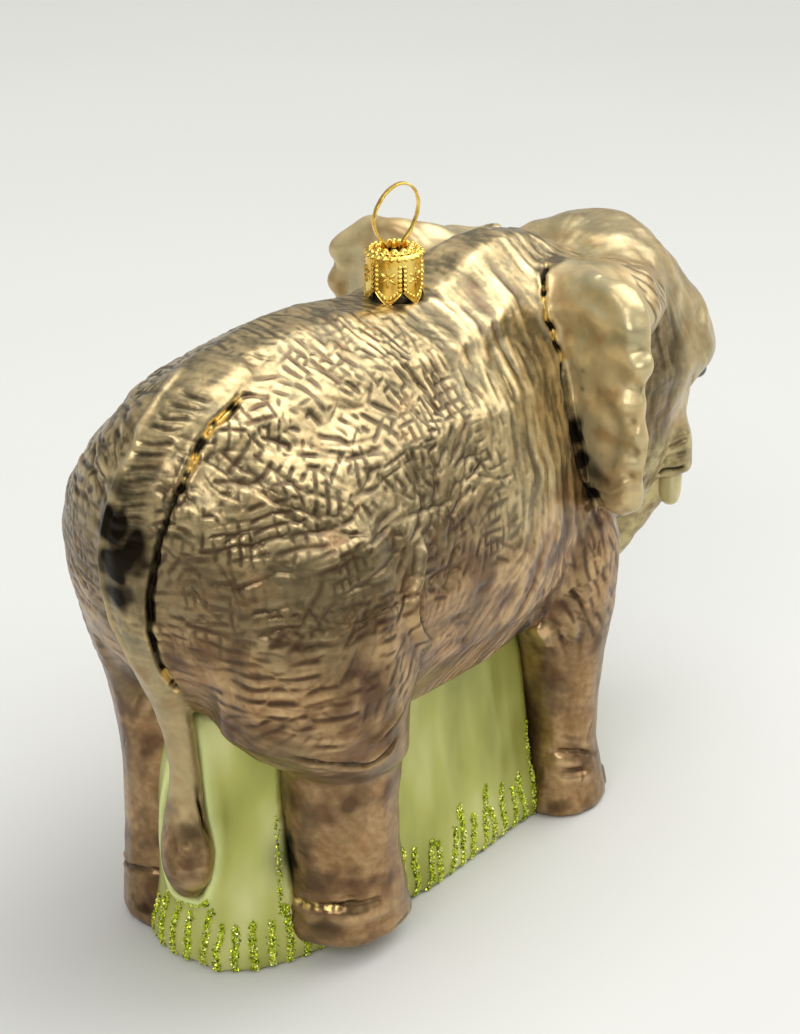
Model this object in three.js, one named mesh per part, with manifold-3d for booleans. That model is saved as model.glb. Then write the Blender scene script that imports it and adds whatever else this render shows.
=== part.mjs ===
// A mould-blown glass Christmas ornament: a walking African elephant, silvered and painted, on a wall of
// painted grass that joins its legs. A crimped brass cap with a wire loop closes the glass neck in its back.
// Millimetres, +Z up. The elephant faces -Y, its right side is -X, and the feet stand on Z = 0.
import * as THREE from 'three';
import { mergeVertices } from 'three/addons/utils/BufferGeometryUtils.js';
import Module from 'manifold-3d';

const wasm = await Module();
wasm.setup();

// Driving dimensions.
const PARTING = 0.3; // gap between two nodes that touch
const WELD = 1e-4; // corners closer than this are one corner
const BEYOND = 200; // past every side of the ornament
const FULL_TURN = 2 * Math.PI;
const QUARTER_TURN = Math.PI / 2;

const HIND_FOOT_LIFT = 4.6; // the right hind foot has just left the ground
const NECK_CUT_Y = -36; // where the neck meets the shoulders

const SEAT_HEIGHT = 106.5; // the dip of the back, where the glass neck leaves the body
const CAP_CLEARANCE = 0.4; // from the seat to the tips of the cap's petals
const CAP_RADIUS = 5.3;
const CAP_HEIGHT = 8.5;
const CAP_WALL = 0.6;
const CAP_HOLE_RADIUS = 2.3;
const COLLAR_RADIUS = 3.3; // the raised ring round the cap's hole
const COLLAR_HEIGHT = 0.8;
const CAP_PETALS = 6;
const CAP_TURN = 0.48; // the slits' turn about the upright, in radians
const CAP_SLIT = 0.5;
const CAP_SLIT_HEIGHT = 6.6;
const CAP_POINT = 1.7; // height of the petals' pointed ends
const CAP_SIDES = 24;
const CAP_TOP = SEAT_HEIGHT + CAP_CLEARANCE + CAP_HEIGHT;

const PIKE_RADIUS = 4.2;
const PIKE_BORE = 3.2;
const PIKE_BOTTOM = SEAT_HEIGHT - 1.6;
const PIKE_TOP = SEAT_HEIGHT + 4.4;
const PIKE_SIDES = 18;

const STRIP_WIDTH = 1;
const STRIP_THICKNESS = 0.5;
const LOOP_TURN = 1.13; // the wire loop's turn about the upright, in radians

// Body colours.
const FINISH = {
  hide: { color: 0x8d7f63, roughness: 0.32, metalness: 0.75 },
  ear: { color: 0x9a9073, roughness: 0.3, metalness: 0.75 },
  foot: { color: 0x7d5c47, roughness: 0.38, metalness: 0.6 },
  grass: { color: 0xa9b872, roughness: 0.35, metalness: 0.5 },
  ivory: { color: 0xd9d0a0, roughness: 0.35, metalness: 0.1 },
  eye: { color: 0x14110e, roughness: 0.15, metalness: 0 },
  glass: { color: 0x2c2a26, roughness: 0.12, metalness: 0.2 },
  brass: { color: 0xc9993a, roughness: 0.3, metalness: 1 },
};

// ---------- solids ----------

// A Catmull-Rom curve through every column of a table of stations, sampled at `count` even steps.
function smoothRows(stations, count) {
  const row = (k) => stations[THREE.MathUtils.clamp(k, 0, stations.length - 1)];
  return Array.from({ length: count }, (_, i) => {
    const t = (i / (count - 1)) * (stations.length - 1);
    const k = Math.min(Math.floor(t), stations.length - 2);
    const f = t - k;
    return stations[0].map((_, c) => {
      const [before, here, next, after] = [row(k - 1)[c], row(k)[c], row(k + 1)[c], row(k + 2)[c]];
      const slopeHere = (next - before) / 2;
      const slopeNext = (after - here) / 2;
      const bend = 3 * (next - here) - 2 * slopeHere - slopeNext;
      const twist = 2 * (here - next) + slopeHere + slopeNext;
      return here + f * (slopeHere + f * (bend + f * twist));
    });
  });
}

// cos or sin pulled towards the corners of its square: power 2 is an ellipse, more is boxier, less is a roof.
const squared = (value, power) => Math.sign(value) * Math.abs(value) ** (2 / power);

// Skins a closed solid over rings that hold the same number of points, with a flat fan over each end.
function loft(rings) {
  const sides = rings[0].length;
  const centre = (ring) => ring.reduce((sum, p) => sum.add(p), new THREE.Vector3()).divideScalar(sides);
  const points = [...rings.flat(), centre(rings[0]), centre(rings.at(-1))];
  const first = rings.length * sides;
  const last = (rings.length - 1) * sides;
  const triangles = [];
  for (let s = 0; s < sides; s += 1) {
    const n = (s + 1) % sides;
    triangles.push([first, n, s], [first + 1, last + s, last + n]);
    for (let r = 0; r < rings.length - 1; r += 1) {
      const a = r * sides;
      const b = a + sides;
      triangles.push([a + s, a + n, b + n], [a + s, b + n, b + s]);
    }
  }
  return closed(points, triangles);
}

// A closed solid from points and triangles, turned the right way out.
function closed(points, triangles) {
  const wedge = ([a, b, c]) => points[a].dot(points[b].clone().cross(points[c]));
  const volume = triangles.reduce((sum, triangle) => sum + wedge(triangle), 0);
  const facing = volume < 0 ? triangles.map(([a, b, c]) => [a, c, b]) : triangles;
  return new wasm.Manifold(new wasm.Mesh({
    numProp: 3,
    vertProperties: new Float32Array(points.flatMap((p) => [p.x, p.y, p.z])),
    triVerts: new Uint32Array(facing.flat()),
  }));
}

// A three.js geometry as a solid.
function solidOf(geometry) {
  geometry.deleteAttribute('normal');
  geometry.deleteAttribute('uv');
  const merged = mergeVertices(geometry, WELD);
  const corners = merged.getAttribute('position');
  const corner = (_, i) => new THREE.Vector3().fromBufferAttribute(corners, i);
  const points = Array.from({ length: corners.count }, corner);
  const order = Array.from(merged.getIndex().array);
  const triangles = Array.from({ length: order.length / 3 }, (_, i) => order.slice(3 * i, 3 * i + 3));
  return closed(points, triangles);
}

const cut = (solid, ...tools) => tools.reduce((rest, tool) => rest.subtract(tool), solid);

// A block between two corners, for cutting.
function block(low, high) {
  const size = high.map((value, axis) => value - low[axis]);
  const middle = high.map((value, axis) => (value + low[axis]) / 2);
  return solidOf(new THREE.BoxGeometry(...size).translate(...middle));
}

// A body that runs along Y. Each station: y, top, height of the widest line, bottom, half width, roof, where
// roof is the power of the upper half of the section and BELLY_POWER that of the lower half. `grow` makes
// the whole body that much fatter.
const BELLY_POWER = 2.2;
function lyingBody(stations, rings, sides, grow = 0) {
  const rows = smoothRows(stations, rings);
  return loft(rows.map(([y, top, widest, bottom, halfWidth, roof], i) => {
    const end = i === 0 ? grow : i === rings - 1 ? -grow : 0;
    return Array.from({ length: sides }, (_, s) => {
      const angle = (s / sides) * FULL_TURN;
      const up = Math.sin(angle);
      const power = up > 0 ? roof : BELLY_POWER;
      const rise = up > 0 ? top - widest + grow : widest - bottom + grow;
      const x = (halfWidth + grow) * squared(Math.cos(angle), power);
      return new THREE.Vector3(x, y + end, widest + rise * squared(up, power));
    });
  }));
}

// A body that stands along Z. Each station: z, x, y, half width across X, half length along Y, power.
function standingBody(stations, rings, sides, grow = 0) {
  const rows = smoothRows(stations, rings);
  return loft(rows.map(([z, x, y, halfX, halfY, power], i) => {
    const end = i === 0 ? grow : i === rings - 1 ? -grow : 0;
    return Array.from({ length: sides }, (_, s) => {
      const angle = (s / sides) * FULL_TURN;
      const across = (halfX + grow) * squared(Math.cos(angle), power);
      const along = (halfY + grow) * squared(Math.sin(angle), power);
      return new THREE.Vector3(x + across, y + along, z + end);
    });
  }));
}

// A limb swept along a curved line. Each station: x, y, z, half width across, half thickness. The width lies
// across `side`, and both taper with the line.
function sweptBody(stations, rings, sides, side, grow = 0) {
  const rows = smoothRows(stations, rings);
  const places = rows.map(([x, y, z]) => new THREE.Vector3(x, y, z));
  return loft(rows.map(([, , , halfWide, halfThick], i) => {
    const ahead = places[Math.min(i + 1, rings - 1)].clone().sub(places[Math.max(i - 1, 0)]).normalize();
    const out = new THREE.Vector3().crossVectors(ahead, side).normalize();
    const across = new THREE.Vector3().crossVectors(out, ahead);
    const end = i === 0 ? -grow : i === rings - 1 ? grow : 0;
    return Array.from({ length: sides }, (_, s) => {
      const angle = (s / sides) * FULL_TURN;
      return places[i].clone()
        .addScaledVector(across, (halfWide + grow) * Math.cos(angle))
        .addScaledVector(out, (halfThick + grow) * Math.sin(angle))
        .addScaledVector(ahead, end);
    });
  }));
}

// ---------- the glass body ----------

// y, top, widest, bottom, half width, roof
const BODY = [
  [65.4, 87, 82, 77, 5, 2.0],
  [64.0, 95.6, 82, 68, 12, 1.9],
  [60.6, 101, 79, 58, 19.4, 1.8],
  [54.6, 105, 76, 50, 25.4, 1.65],
  [46.0, 107.8, 73, 43.4, 30.4, 1.6],
  [35.0, 109.6, 70, 39, 32.4, 1.6],
  [23.0, 110, 69, 37, 32.2, 1.7],
  [11.0, 108, 68, 36, 31.5, 1.85],
  [0.0, SEAT_HEIGHT, 67, 36.6, 31, 1.95],
  [-9.0, 108, 66, 37.6, 29.5, 1.85],
  [-17.0, 111, 65, 40, 27.5, 1.7],
  [-25.0, 111.9, 65, 43, 25.5, 1.6],
  [-33.0, 110.4, 68, 47, 22.6, 1.6],
  [-41.0, 106.6, 72, 52, 19.6, 1.7],
  [-50.0, 102, 76, 58, 16, 1.8],
];
const BODY_RINGS = 21;
const BODY_SIDES = 18;
const body = (grow) => lyingBody(BODY, BODY_RINGS, BODY_SIDES, grow);

// Legs and head, each a standing body: z, x, y, half X, half Y, power. The elephant walks, so no two legs
// are alike: its right hind foot is lifted forward and its left fore foot is ahead.
const HIND_RIGHT = [
  [92, -15, 40, 6, 10, 2],
  [84, -18, 41, 12, 17, 2],
  [72, -18.6, 41.2, 15, 19.4, 2],
  [60, -18.4, 41.4, 16, 19.8, 2],
  [51, -17.6, 42.2, 15.4, 17, 2.1],
  [46, -18.2, 40, 13.8, 14.6, 2.1],
  [41.8, -18.6, 36.4, 11.8, 11.8, 2],
  [38.6, -17.6, 34.6, 10.3, 10.4, 2],
  [30, -16.8, 34.6, 10, 10.2, 2],
  [20, -16.8, 34.2, 10, 10.2, 2],
  [12, -17, 33.4, 10.2, 10.4, 2.1],
  [7.6, -16.6, 33, 10.4, 10.6, 2.4],
  [HIND_FOOT_LIFT, -16.6, 32.9, 10.2, 10.4, 2.5],
];
const HIND_LEFT = [
  [92, 15, 41, 6, 10, 2],
  [84, 17, 42, 12, 17, 2],
  [72, 17.6, 43, 13.2, 16, 2],
  [60, 16.2, 44.8, 11.8, 12.8, 2],
  [50, 14.4, 45, 10.2, 10.4, 2],
  [42, 13.4, 45, 9.2, 9.4, 2],
  [30, 12.8, 44.8, 8.8, 9, 2],
  [18, 13, 45, 8.8, 9, 2],
  [9, 13.2, 45.2, 9, 9.3, 2],
  [3, 13.2, 44.6, 9.7, 10.3, 2],
  [0, 13.2, 44.4, 9.4, 10, 2],
];
const FORE_RIGHT = [
  [71, -14.5, -21, 5, 7, 2],
  [66, -16.5, -23, 9, 11, 2],
  [60, -18, -25, 10.4, 12.4, 2],
  [52, -18.6, -26.2, 9.9, 11.6, 2],
  [44, -18.6, -26.8, 9.2, 10.6, 2],
  [33, -18, -27.2, 8.1, 8.7, 2],
  [20, -17.6, -27.4, 7.4, 7.8, 2],
  [12, -17.8, -27.6, 7.4, 7.9, 2],
  [5, -18, -28.4, 8.2, 8.8, 2],
  [2, -18, -28.6, 8.5, 9.2, 2],
  [0, -18, -28.6, 8.1, 8.8, 2],
];
const FORE_LEFT = [
  [71, 14.5, -22, 5, 7, 2],
  [66, 16.5, -25, 9, 11, 2],
  [60, 18, -28, 10.4, 12.4, 2],
  [52, 18.6, -31.4, 9.9, 11.4, 2],
  [44, 18.6, -34, 9.2, 10.4, 2],
  [33, 18.4, -37, 8.4, 9, 2],
  [20, 18.2, -40.4, 7.7, 8.1, 2],
  [12, 18.2, -42.2, 7.6, 8, 2],
  [5, 18.2, -43.6, 8.3, 8.9, 2],
  [2, 18.2, -44, 8.6, 9.4, 2],
  [0, 18.2, -44, 8.2, 9, 2],
];
const LEG_RINGS = 13;
const LEG_SIDES = 14;
const leg = (stations, grow) => standingBody(stations, LEG_RINGS, LEG_SIDES, grow);

// The domed crown, the brow, the narrower cheeks under it and the chin, which the trunk hangs in front of.
const HEAD = [
  [106.6, 0, -60.6, 3.5, 3.5, 2],
  [104.8, 0, -59.4, 9.2, 8.6, 2],
  [100.6, 0, -59.4, 13.6, 13.4, 2.05],
  [94, 0, -61.4, 15.6, 16.8, 2.1],
  [86, 0, -63.4, 17.6, 19.8, 2.4],
  [79.4, 0, -65, 19.2, 21, 2.7],
  [75, 0, -64, 18, 19.2, 2.4],
  [69, 0, -62, 16.6, 16.8, 2.1],
  [62, 0, -61.6, 15.2, 15.8, 2.1],
  [55, 0, -61.6, 13.2, 14.6, 2.1],
  [49, 0, -62, 10.4, 12.2, 2],
  [44, 0, -62.4, 6.4, 8, 2],
  [42, 0, -62.4, 3, 4, 2],
];
const HEAD_RINGS = 15;
const HEAD_SIDES = 18;
// The sheath that each tusk grows from, given for the left.
const SHEATH = [
  [10, -69, 74, 3.8, 3.8],
  [10.6, -69.4, 67, 4.8, 4.8],
  [11.4, -70, 60.6, 4.6, 4.6],
  [12.2, -70.2, 55.6, 4.2, 4.2],
  [12.5, -70.2, 53, 3.5, 3.5],
];
const SHEATH_RINGS = 6;
const SHEATH_SIDES = 10;

// From the brow down and back, as wide as the face at its root, and swung to the elephant's left.
const TRUNK = [
  [0, -66.6, 86, 12.6, 12.6],
  [0, -70.4, 78.4, 13.4, 13.6],
  [0, -72.8, 71.6, 12.6, 12.2],
  [0, -74.6, 65, 11, 10.8],
  [-0.4, -75.4, 57, 10, 9],
  [-0.2, -74.2, 49, 9, 8],
  [1.8, -70.7, 41, 7.9, 6.9],
  [5.2, -67, 33, 6.9, 6.2],
  [9.6, -62.4, 25, 5.5, 5.2],
  [11.4, -58.6, 17.4, 4.8, 4.5],
  [11, -57, 10.4, 4.3, 3.9],
  [9.4, -58.4, 5, 3.9, 3.2],
];
const TRUNK_RINGS = 14;
const TRUNK_SIDES = 12;
const SIDEWAYS = new THREE.Vector3(1, 0, 0);
const mirrored = (stations, side) => stations.map(([x, ...rest]) => [side * x, ...rest]);
const trunk = (grow) => sweptBody(TRUNK, TRUNK_RINGS, TRUNK_SIDES, SIDEWAYS, grow);
const sheath = (side) => sweptBody(mirrored(SHEATH, side), SHEATH_RINGS, SHEATH_SIDES, SIDEWAYS);
const head = (grow) => standingBody(HEAD, HEAD_RINGS, HEAD_SIDES, grow);

// x, y, z, half across, half thick: along the spine, over the rump and down to the tuft.
const TAIL = [
  [-2, 43, 107.2, 4.4, 1.2],
  [-2, 51, 104.6, 5.8, 2.1],
  [-1.6, 58.4, 100, 6.4, 2.8],
  [-0.8, 63.0, 91.6, 6.2, 2.9],
  [0, 65.0, 82, 6, 2.9],
  [0, 64.2, 72, 5.6, 2.9],
  [0, 61.8, 62.6, 4.8, 2.8],
  [0, 58.2, 54, 3.8, 2.7],
  [0, 55.6, 45, 2.8, 2.5],
  [0, 54.8, 36, 2.6, 2.4],
  [0, 55.2, 28, 3.8, 3],
  [0, 55.4, 20, 4.4, 3.2],
  [0, 55, 13.6, 2.4, 2],
];
const TAIL_RINGS = 19;
const TAIL_SIDES = 8;
const tail = (grow) => sweptBody(TAIL, TAIL_RINGS, TAIL_SIDES, SIDEWAYS, grow);

// The ear's outline across X and up Z, seen from behind, given for the left ear.
const EAR_OUTLINE = [
  [9, 103], [14.4, 108], [22, 109.4], [28.8, 108.2], [33.8, 103.8], [36.4, 97], [37, 89], [37, 81],
  [37.2, 73], [34.6, 67], [28.6, 64.4], [22, 65.4], [17, 70], [13.6, 78], [11, 88], [9, 97],
];
const EAR_MIDDLE = new THREE.Vector2(24, 87);
const EAR_TOP = 108;
const EAR_RIM = { x: 37, y: -22.8, thickness: 4.4 }; // the free edge
const EAR_BACK_SLOPE = 0.1; // the back face runs forward by this much for each millimetre inwards
const EAR_FRONT_SLOPE = 0.62; // and the front face by this much more, so the ear thickens to its root
const EAR_TOP_FALL = 0.36; // the top edge sinks by this much for each millimetre forwards
const EAR_LAYERS = [[0, 0.4], [0.04, 0.7], [0.2, 0.93], [0.5, 1], [0.8, 0.93], [0.96, 0.7], [1, 0.4]];
const EAR_SIDES = 22;

// A leaf with a rounded rim. Each layer is the outline at one share of the way from the back face to the
// front face, drawn in towards the leaf's middle near either face.
function ear(side, grow = 0) {
  const outline = smoothRows([...EAR_OUTLINE, EAR_OUTLINE[0]], EAR_SIDES + 1).slice(0, -1);
  return loft(EAR_LAYERS.map(([depth, share]) => outline.map(([x, z]) => {
    const spoke = new THREE.Vector2(x, z).sub(EAR_MIDDLE);
    const place = EAR_MIDDLE.clone().addScaledVector(spoke, share + grow / spoke.length());
    const inwards = EAR_RIM.x - place.x;
    const back = EAR_RIM.y - EAR_BACK_SLOPE * inwards + grow;
    const front = EAR_RIM.y - EAR_RIM.thickness - (EAR_BACK_SLOPE + EAR_FRONT_SLOPE) * inwards - grow;
    const forwards = (back - front) * depth;
    const fall = EAR_TOP_FALL * forwards * THREE.MathUtils.smoothstep(place.y, EAR_MIDDLE.y, EAR_TOP);
    return new THREE.Vector3(side * place.x, back - forwards, place.y - fall);
  })));
}

// z, x, y, half X, half Y, power: the grassy wall from the floor up to the belly.
const GRASS = [
  [58, 0, 2, 12, 34, 3],
  [46, 0, 2, 13.6, 42, 3],
  [36, 0, 2, 15, 46, 3],
  [24, 0, 2.4, 16.6, 49.6, 3],
  [12, 0, 2.8, 18.4, 52.6, 2.8],
  [4, 0, 3.2, 19.8, 54.6, 2.7],
  [0, 0, 3.2, 19.4, 54.2, 2.7],
];
const GRASS_RINGS = 8;
const GRASS_SIDES = 24;
const grass = () => standingBody(GRASS, GRASS_RINGS, GRASS_SIDES);

// Short blunt tusks and round eyes, given for the left and mirrored.
const TUSK = [
  [12.6, -70.2, 57, 2.2, 2.2],
  [12.8, -70.3, 52, 2.4, 2.4],
  [12.8, -70.2, 48.4, 2.1, 2.1],
  [12.6, -69.8, 46.6, 1, 1],
];
const TUSK_RINGS = 6;
const TUSK_SIDES = 8;
const tusk = (side, grow) => sweptBody(mirrored(TUSK, side), TUSK_RINGS, TUSK_SIDES, SIDEWAYS, grow);
const EYE = { x: 14.4, y: -75.2, z: 74.4, radius: 2 };
const EYE_TURNS = 9;
const EYE_TIERS = 7;
const eye = (side, grow = 0) => solidOf(
  new THREE.SphereGeometry(EYE.radius + grow, EYE_TURNS, EYE_TIERS).translate(side * EYE.x, EYE.y, EYE.z),
);

// ---------- the metal cap and its wire ----------

// A ring or cup turned about the upright, from a profile of [radius, height] points that closes on itself.
function turned(profile, sides) {
  const points = [...profile, profile[0]].map(([radius, height]) => new THREE.Vector2(radius, height));
  return solidOf(new THREE.LatheGeometry(points, sides).rotateX(QUARTER_TURN));
}

// An open cup upside down, with a raised collar round its hole and slits that part its skirt into petals
// with pointed ends.
function capSolid() {
  const foot = CAP_TOP - CAP_HEIGHT;
  const inside = CAP_RADIUS - CAP_WALL;
  const lid = CAP_TOP - CAP_WALL;
  const brim = CAP_TOP + COLLAR_HEIGHT;
  const cup = turned([
    [inside, foot], [CAP_RADIUS, foot], [CAP_RADIUS, lid], [inside, CAP_TOP], [COLLAR_RADIUS, CAP_TOP],
    [COLLAR_RADIUS, brim], [CAP_HOLE_RADIUS, brim], [CAP_HOLE_RADIUS, lid], [inside, lid],
  ], CAP_SIDES);
  const halfPetal = CAP_RADIUS * Math.sin(Math.PI / CAP_PETALS);
  const below = -1;
  const outline = new THREE.Shape([
    new THREE.Vector2(-CAP_SLIT / 2, CAP_SLIT_HEIGHT),
    new THREE.Vector2(-CAP_SLIT / 2, CAP_POINT),
    new THREE.Vector2(-halfPetal, 0),
    new THREE.Vector2(-halfPetal, below),
    new THREE.Vector2(halfPetal, below),
    new THREE.Vector2(halfPetal, 0),
    new THREE.Vector2(CAP_SLIT / 2, CAP_POINT),
    new THREE.Vector2(CAP_SLIT / 2, CAP_SLIT_HEIGHT),
  ]);
  const slits = Array.from({ length: CAP_PETALS }, (_, i) => {
    const slit = new THREE.ExtrudeGeometry(outline, { depth: 2 * CAP_RADIUS, bevelEnabled: false });
    slit.rotateX(QUARTER_TURN).rotateZ(CAP_TURN + (i / CAP_PETALS) * FULL_TURN);
    return solidOf(slit.translate(0, 0, foot));
  });
  return cut(cup, ...slits);
}

// The short open tube of bare glass that the cap grips, with its bottom closed by the body.
const pikeSolid = () => turned([
  [PIKE_BORE, PIKE_BOTTOM], [PIKE_RADIUS, PIKE_BOTTOM], [PIKE_RADIUS, PIKE_TOP], [PIKE_BORE, PIKE_TOP],
], PIKE_SIDES);

// The socket in the back that the tube stands in.
function pikeSocket() {
  const radius = PIKE_RADIUS + PARTING;
  const socket = new THREE.CylinderGeometry(radius, radius, PIKE_TOP - PIKE_BOTTOM, PIKE_SIDES);
  return solidOf(socket.rotateX(QUARTER_TURN).translate(0, 0, (PIKE_BOTTOM + PIKE_TOP) / 2 - PARTING));
}

// Where the strip runs: outwards in the loop's plane, and up from the cap's top. The loop leans a little.
const LOOP_STEPS = 32;
const LOOP_LINE = [
  [1.1, -3.4], [1.45, -0.8], [1.6, 0.9], [3.2, 2.9], [3.8, 5.4], [3, 7.9], [1.2, 10.2],
  [-1.3, 11.3], [-3.5, 10.3], [-4.5, 7.9], [-4.2, 5.4], [-3.1, 2.9], [-1.6, 0.9], [-1.45, -0.8], [-1.1, -3.4],
];

// A flat brass strip bent into a loop, its two ends down through the cap's hole.
function hangerSolid() {
  const places = LOOP_LINE.map(([out, up]) => new THREE.Vector3(out, 0, CAP_TOP + up));
  const path = new THREE.CatmullRomCurve3(places);
  const [x, y] = [STRIP_WIDTH / 2, STRIP_THICKNESS / 2];
  const corners = [[-x, -y], [x, -y], [x, y], [-x, y]].map((corner) => new THREE.Vector2(...corner));
  const section = new THREE.Shape(corners);
  const strip = new THREE.ExtrudeGeometry(section, { steps: LOOP_STEPS, extrudePath: path });
  return solidOf(strip.rotateZ(LOOP_TURN));
}

// ---------- assembly ----------

const ornament = new THREE.Group();

function addNode(name, solid, finish) {
  const { numProp, vertProperties, triVerts } = solid.getMesh();
  const geometry = new THREE.BufferGeometry();
  geometry.setAttribute('position', new THREE.Float32BufferAttribute(vertProperties, numProp));
  geometry.setIndex(Array.from(triVerts));
  geometry.computeVertexNormals();
  const node = new THREE.Mesh(geometry, new THREE.MeshStandardMaterial(finish));
  node.name = name;
  ornament.add(node);
}

const LEGS = {
  leg_hind_right: HIND_RIGHT,
  leg_hind_left: HIND_LEFT,
  leg_fore_right: FORE_RIGHT,
  leg_fore_left: FORE_LEFT,
};
const legTools = Object.values(LEGS).map((stations) => leg(stations, PARTING));
const earTools = [ear(1, PARTING), ear(-1, PARTING)];
const tuskTools = [tusk(1, PARTING), tusk(-1, PARTING)];
const inFront = block([-BEYOND, -BEYOND, -BEYOND], [BEYOND, NECK_CUT_Y - PARTING / 2, BEYOND]);
const behind = block([-BEYOND, NECK_CUT_Y + PARTING / 2, -BEYOND], [BEYOND, BEYOND, BEYOND]);
const aboveFloor = block([-BEYOND, -BEYOND, 0], [BEYOND, BEYOND, BEYOND]);

const carved = cut(body(0), ...legTools, ...earTools, head(PARTING), tail(PARTING), pikeSocket());
addNode('torso', carved.intersect(behind), FINISH.hide);
addNode('neck', carved.intersect(inFront), FINISH.hide);

for (const [name, stations] of Object.entries(LEGS)) {
  addNode(name, cut(leg(stations, 0).intersect(aboveFloor), ...earTools), FINISH.foot);
}

const skull = head(0).add(sheath(1)).add(sheath(-1));
const eyeTools = [eye(1, PARTING), eye(-1, PARTING)];
addNode('head', cut(skull, ...earTools, ...tuskTools, ...eyeTools, trunk(PARTING)), FINISH.hide);
addNode('trunk', cut(trunk(0), ...tuskTools, ...eyeTools, leg(FORE_LEFT, PARTING)), FINISH.hide);
addNode('tail', tail(0), FINISH.hide);
for (const [label, side] of [['left', 1], ['right', -1]]) {
  addNode(`ear_${label}`, ear(side), FINISH.ear);
  addNode(`tusk_${label}`, tusk(side, 0), FINISH.ivory);
  addNode(`eye_${label}`, eye(side), FINISH.eye);
}
addNode('grass_base', cut(grass(), ...legTools, body(PARTING), tail(PARTING), trunk(PARTING)), FINISH.grass);
addNode('glass_neck', pikeSolid(), FINISH.glass);
addNode('cap', capSolid(), FINISH.brass);
addNode('hanger', hangerSolid(), FINISH.brass);

// The origin goes under the middle of the whole ornament's box, on the floor.
const extent = new THREE.Box3().setFromObject(ornament);
const centre = extent.getCenter(new THREE.Vector3());
ornament.position.set(-centre.x, -centre.y, -extent.min.z);

export default ornament;
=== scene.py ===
"""A mould-blown glass elephant ornament, silvered and painted, walking over a wall of painted grass.

One skin stands for the glass nodes of the elephant. It is made by joining their solids in a grid of
distances, and its wrinkles and folds are then raised on it. Lengths are millimetres from the foot of the
cap's axis, on the floor, until a mesh is made: the elephant faces -Y and its right side is -X.
"""

import math

import bpy
import numpy as np
import openvdb
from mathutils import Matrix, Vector
from mathutils.bvhtree import BVHTree


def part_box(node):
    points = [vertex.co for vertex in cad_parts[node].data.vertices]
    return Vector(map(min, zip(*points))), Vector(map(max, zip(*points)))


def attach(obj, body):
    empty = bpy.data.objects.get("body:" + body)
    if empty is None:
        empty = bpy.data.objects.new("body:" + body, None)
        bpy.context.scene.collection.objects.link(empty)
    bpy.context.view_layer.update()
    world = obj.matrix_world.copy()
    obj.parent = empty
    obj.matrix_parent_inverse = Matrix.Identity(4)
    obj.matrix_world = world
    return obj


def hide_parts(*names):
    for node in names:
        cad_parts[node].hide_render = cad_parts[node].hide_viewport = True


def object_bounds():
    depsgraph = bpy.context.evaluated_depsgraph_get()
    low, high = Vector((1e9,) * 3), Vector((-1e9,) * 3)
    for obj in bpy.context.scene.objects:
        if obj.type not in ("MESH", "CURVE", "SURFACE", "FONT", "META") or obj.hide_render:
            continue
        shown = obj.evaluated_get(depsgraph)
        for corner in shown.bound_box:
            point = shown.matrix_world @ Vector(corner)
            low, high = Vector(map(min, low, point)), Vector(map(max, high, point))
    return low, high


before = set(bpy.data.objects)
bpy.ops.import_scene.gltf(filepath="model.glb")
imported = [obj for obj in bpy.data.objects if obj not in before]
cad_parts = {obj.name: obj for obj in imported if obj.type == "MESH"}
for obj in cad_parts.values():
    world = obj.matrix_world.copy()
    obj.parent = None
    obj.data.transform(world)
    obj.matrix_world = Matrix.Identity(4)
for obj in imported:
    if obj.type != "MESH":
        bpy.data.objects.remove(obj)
CAD_LOW, CAD_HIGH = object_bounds()

MM = 0.001
CAP_LOW, CAP_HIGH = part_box("cap")
FOOT = np.array([(CAP_LOW.x + CAP_HIGH.x) / 2, (CAP_LOW.y + CAP_HIGH.y) / 2, 0.0])
LEGS = ("leg_hind_right", "leg_hind_left", "leg_fore_right", "leg_fore_left")
EARS = ("ear_right", "ear_left")
FLESH = ("torso", "neck", *LEGS, "head", "trunk", "tail", *EARS)


# ---------- numbers ----------

def to_metres(points):
    return np.asarray(points, float) * MM + FOOT


def node_box(name):
    """Lowest and highest corner of a CAD node, in millimetres from the foot of the cap's axis."""
    return [(np.array(corner) - FOOT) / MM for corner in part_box(name)]


def ramp(low, high, value):
    """0 below low, 1 above high and smooth between them. It falls where low is above high."""
    t = np.clip((value - low) / (high - low), 0, 1)
    return t * t * (3 - 2 * t)


def hill(value, centre, width):
    return np.exp(-(((value - centre) / width) ** 2))


LATTICE_SIZE = 64
LATTICE = np.random.default_rng(11).random((LATTICE_SIZE,) * 3, np.float32)


def blended(values, low, high, part):
    """Straight blends between the eight cells round each place: part is how far it is from low to high."""
    total = 0
    for corner in range(8):
        index, weight = [], 1
        for axis in range(3):
            upper = corner >> axis & 1
            index.append((high if upper else low)[:, axis])
            weight = weight * (part[:, axis] if upper else 1 - part[:, axis])
        total = total + weight * values[tuple(index)]
    return total


def noise(points, size, shift=0.0):
    """Smooth noise from 0 to 1, with cells of that size."""
    place = points / size + shift
    cell = np.floor(place)
    part = place - cell
    low = cell.astype(np.int64) % LATTICE_SIZE
    return blended(LATTICE, low, (low + 1) % LATTICE_SIZE, part * part * (3 - 2 * part))


def evened(values):
    return (values - values.mean()) / values.std()


def streaks(points, along, width, length, shift=0.0, samples=7):
    """Noise drawn out along a direction at each point, with mean 0 and spread 1."""
    total = 0
    for step in np.linspace(-0.5, 0.5, samples):
        total = total + noise(points + along * (step * length), width, shift)
    return evened(total)


def unit(vectors):
    return vectors / np.maximum(np.linalg.norm(vectors, axis=-1, keepdims=True), 1e-9)


def oval(points, centre, reach):
    """How far each point is from a centre, as a share of the reach along each axis."""
    return np.linalg.norm((points - np.array(centre, float)) / np.array(reach, float), axis=1)


def wander(points, size, shifts):
    """A smooth random offset at each point, up to half a millimetre either way along each axis."""
    return np.stack([noise(points, size, shift) for shift in shifts], 1) - 0.5


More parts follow.
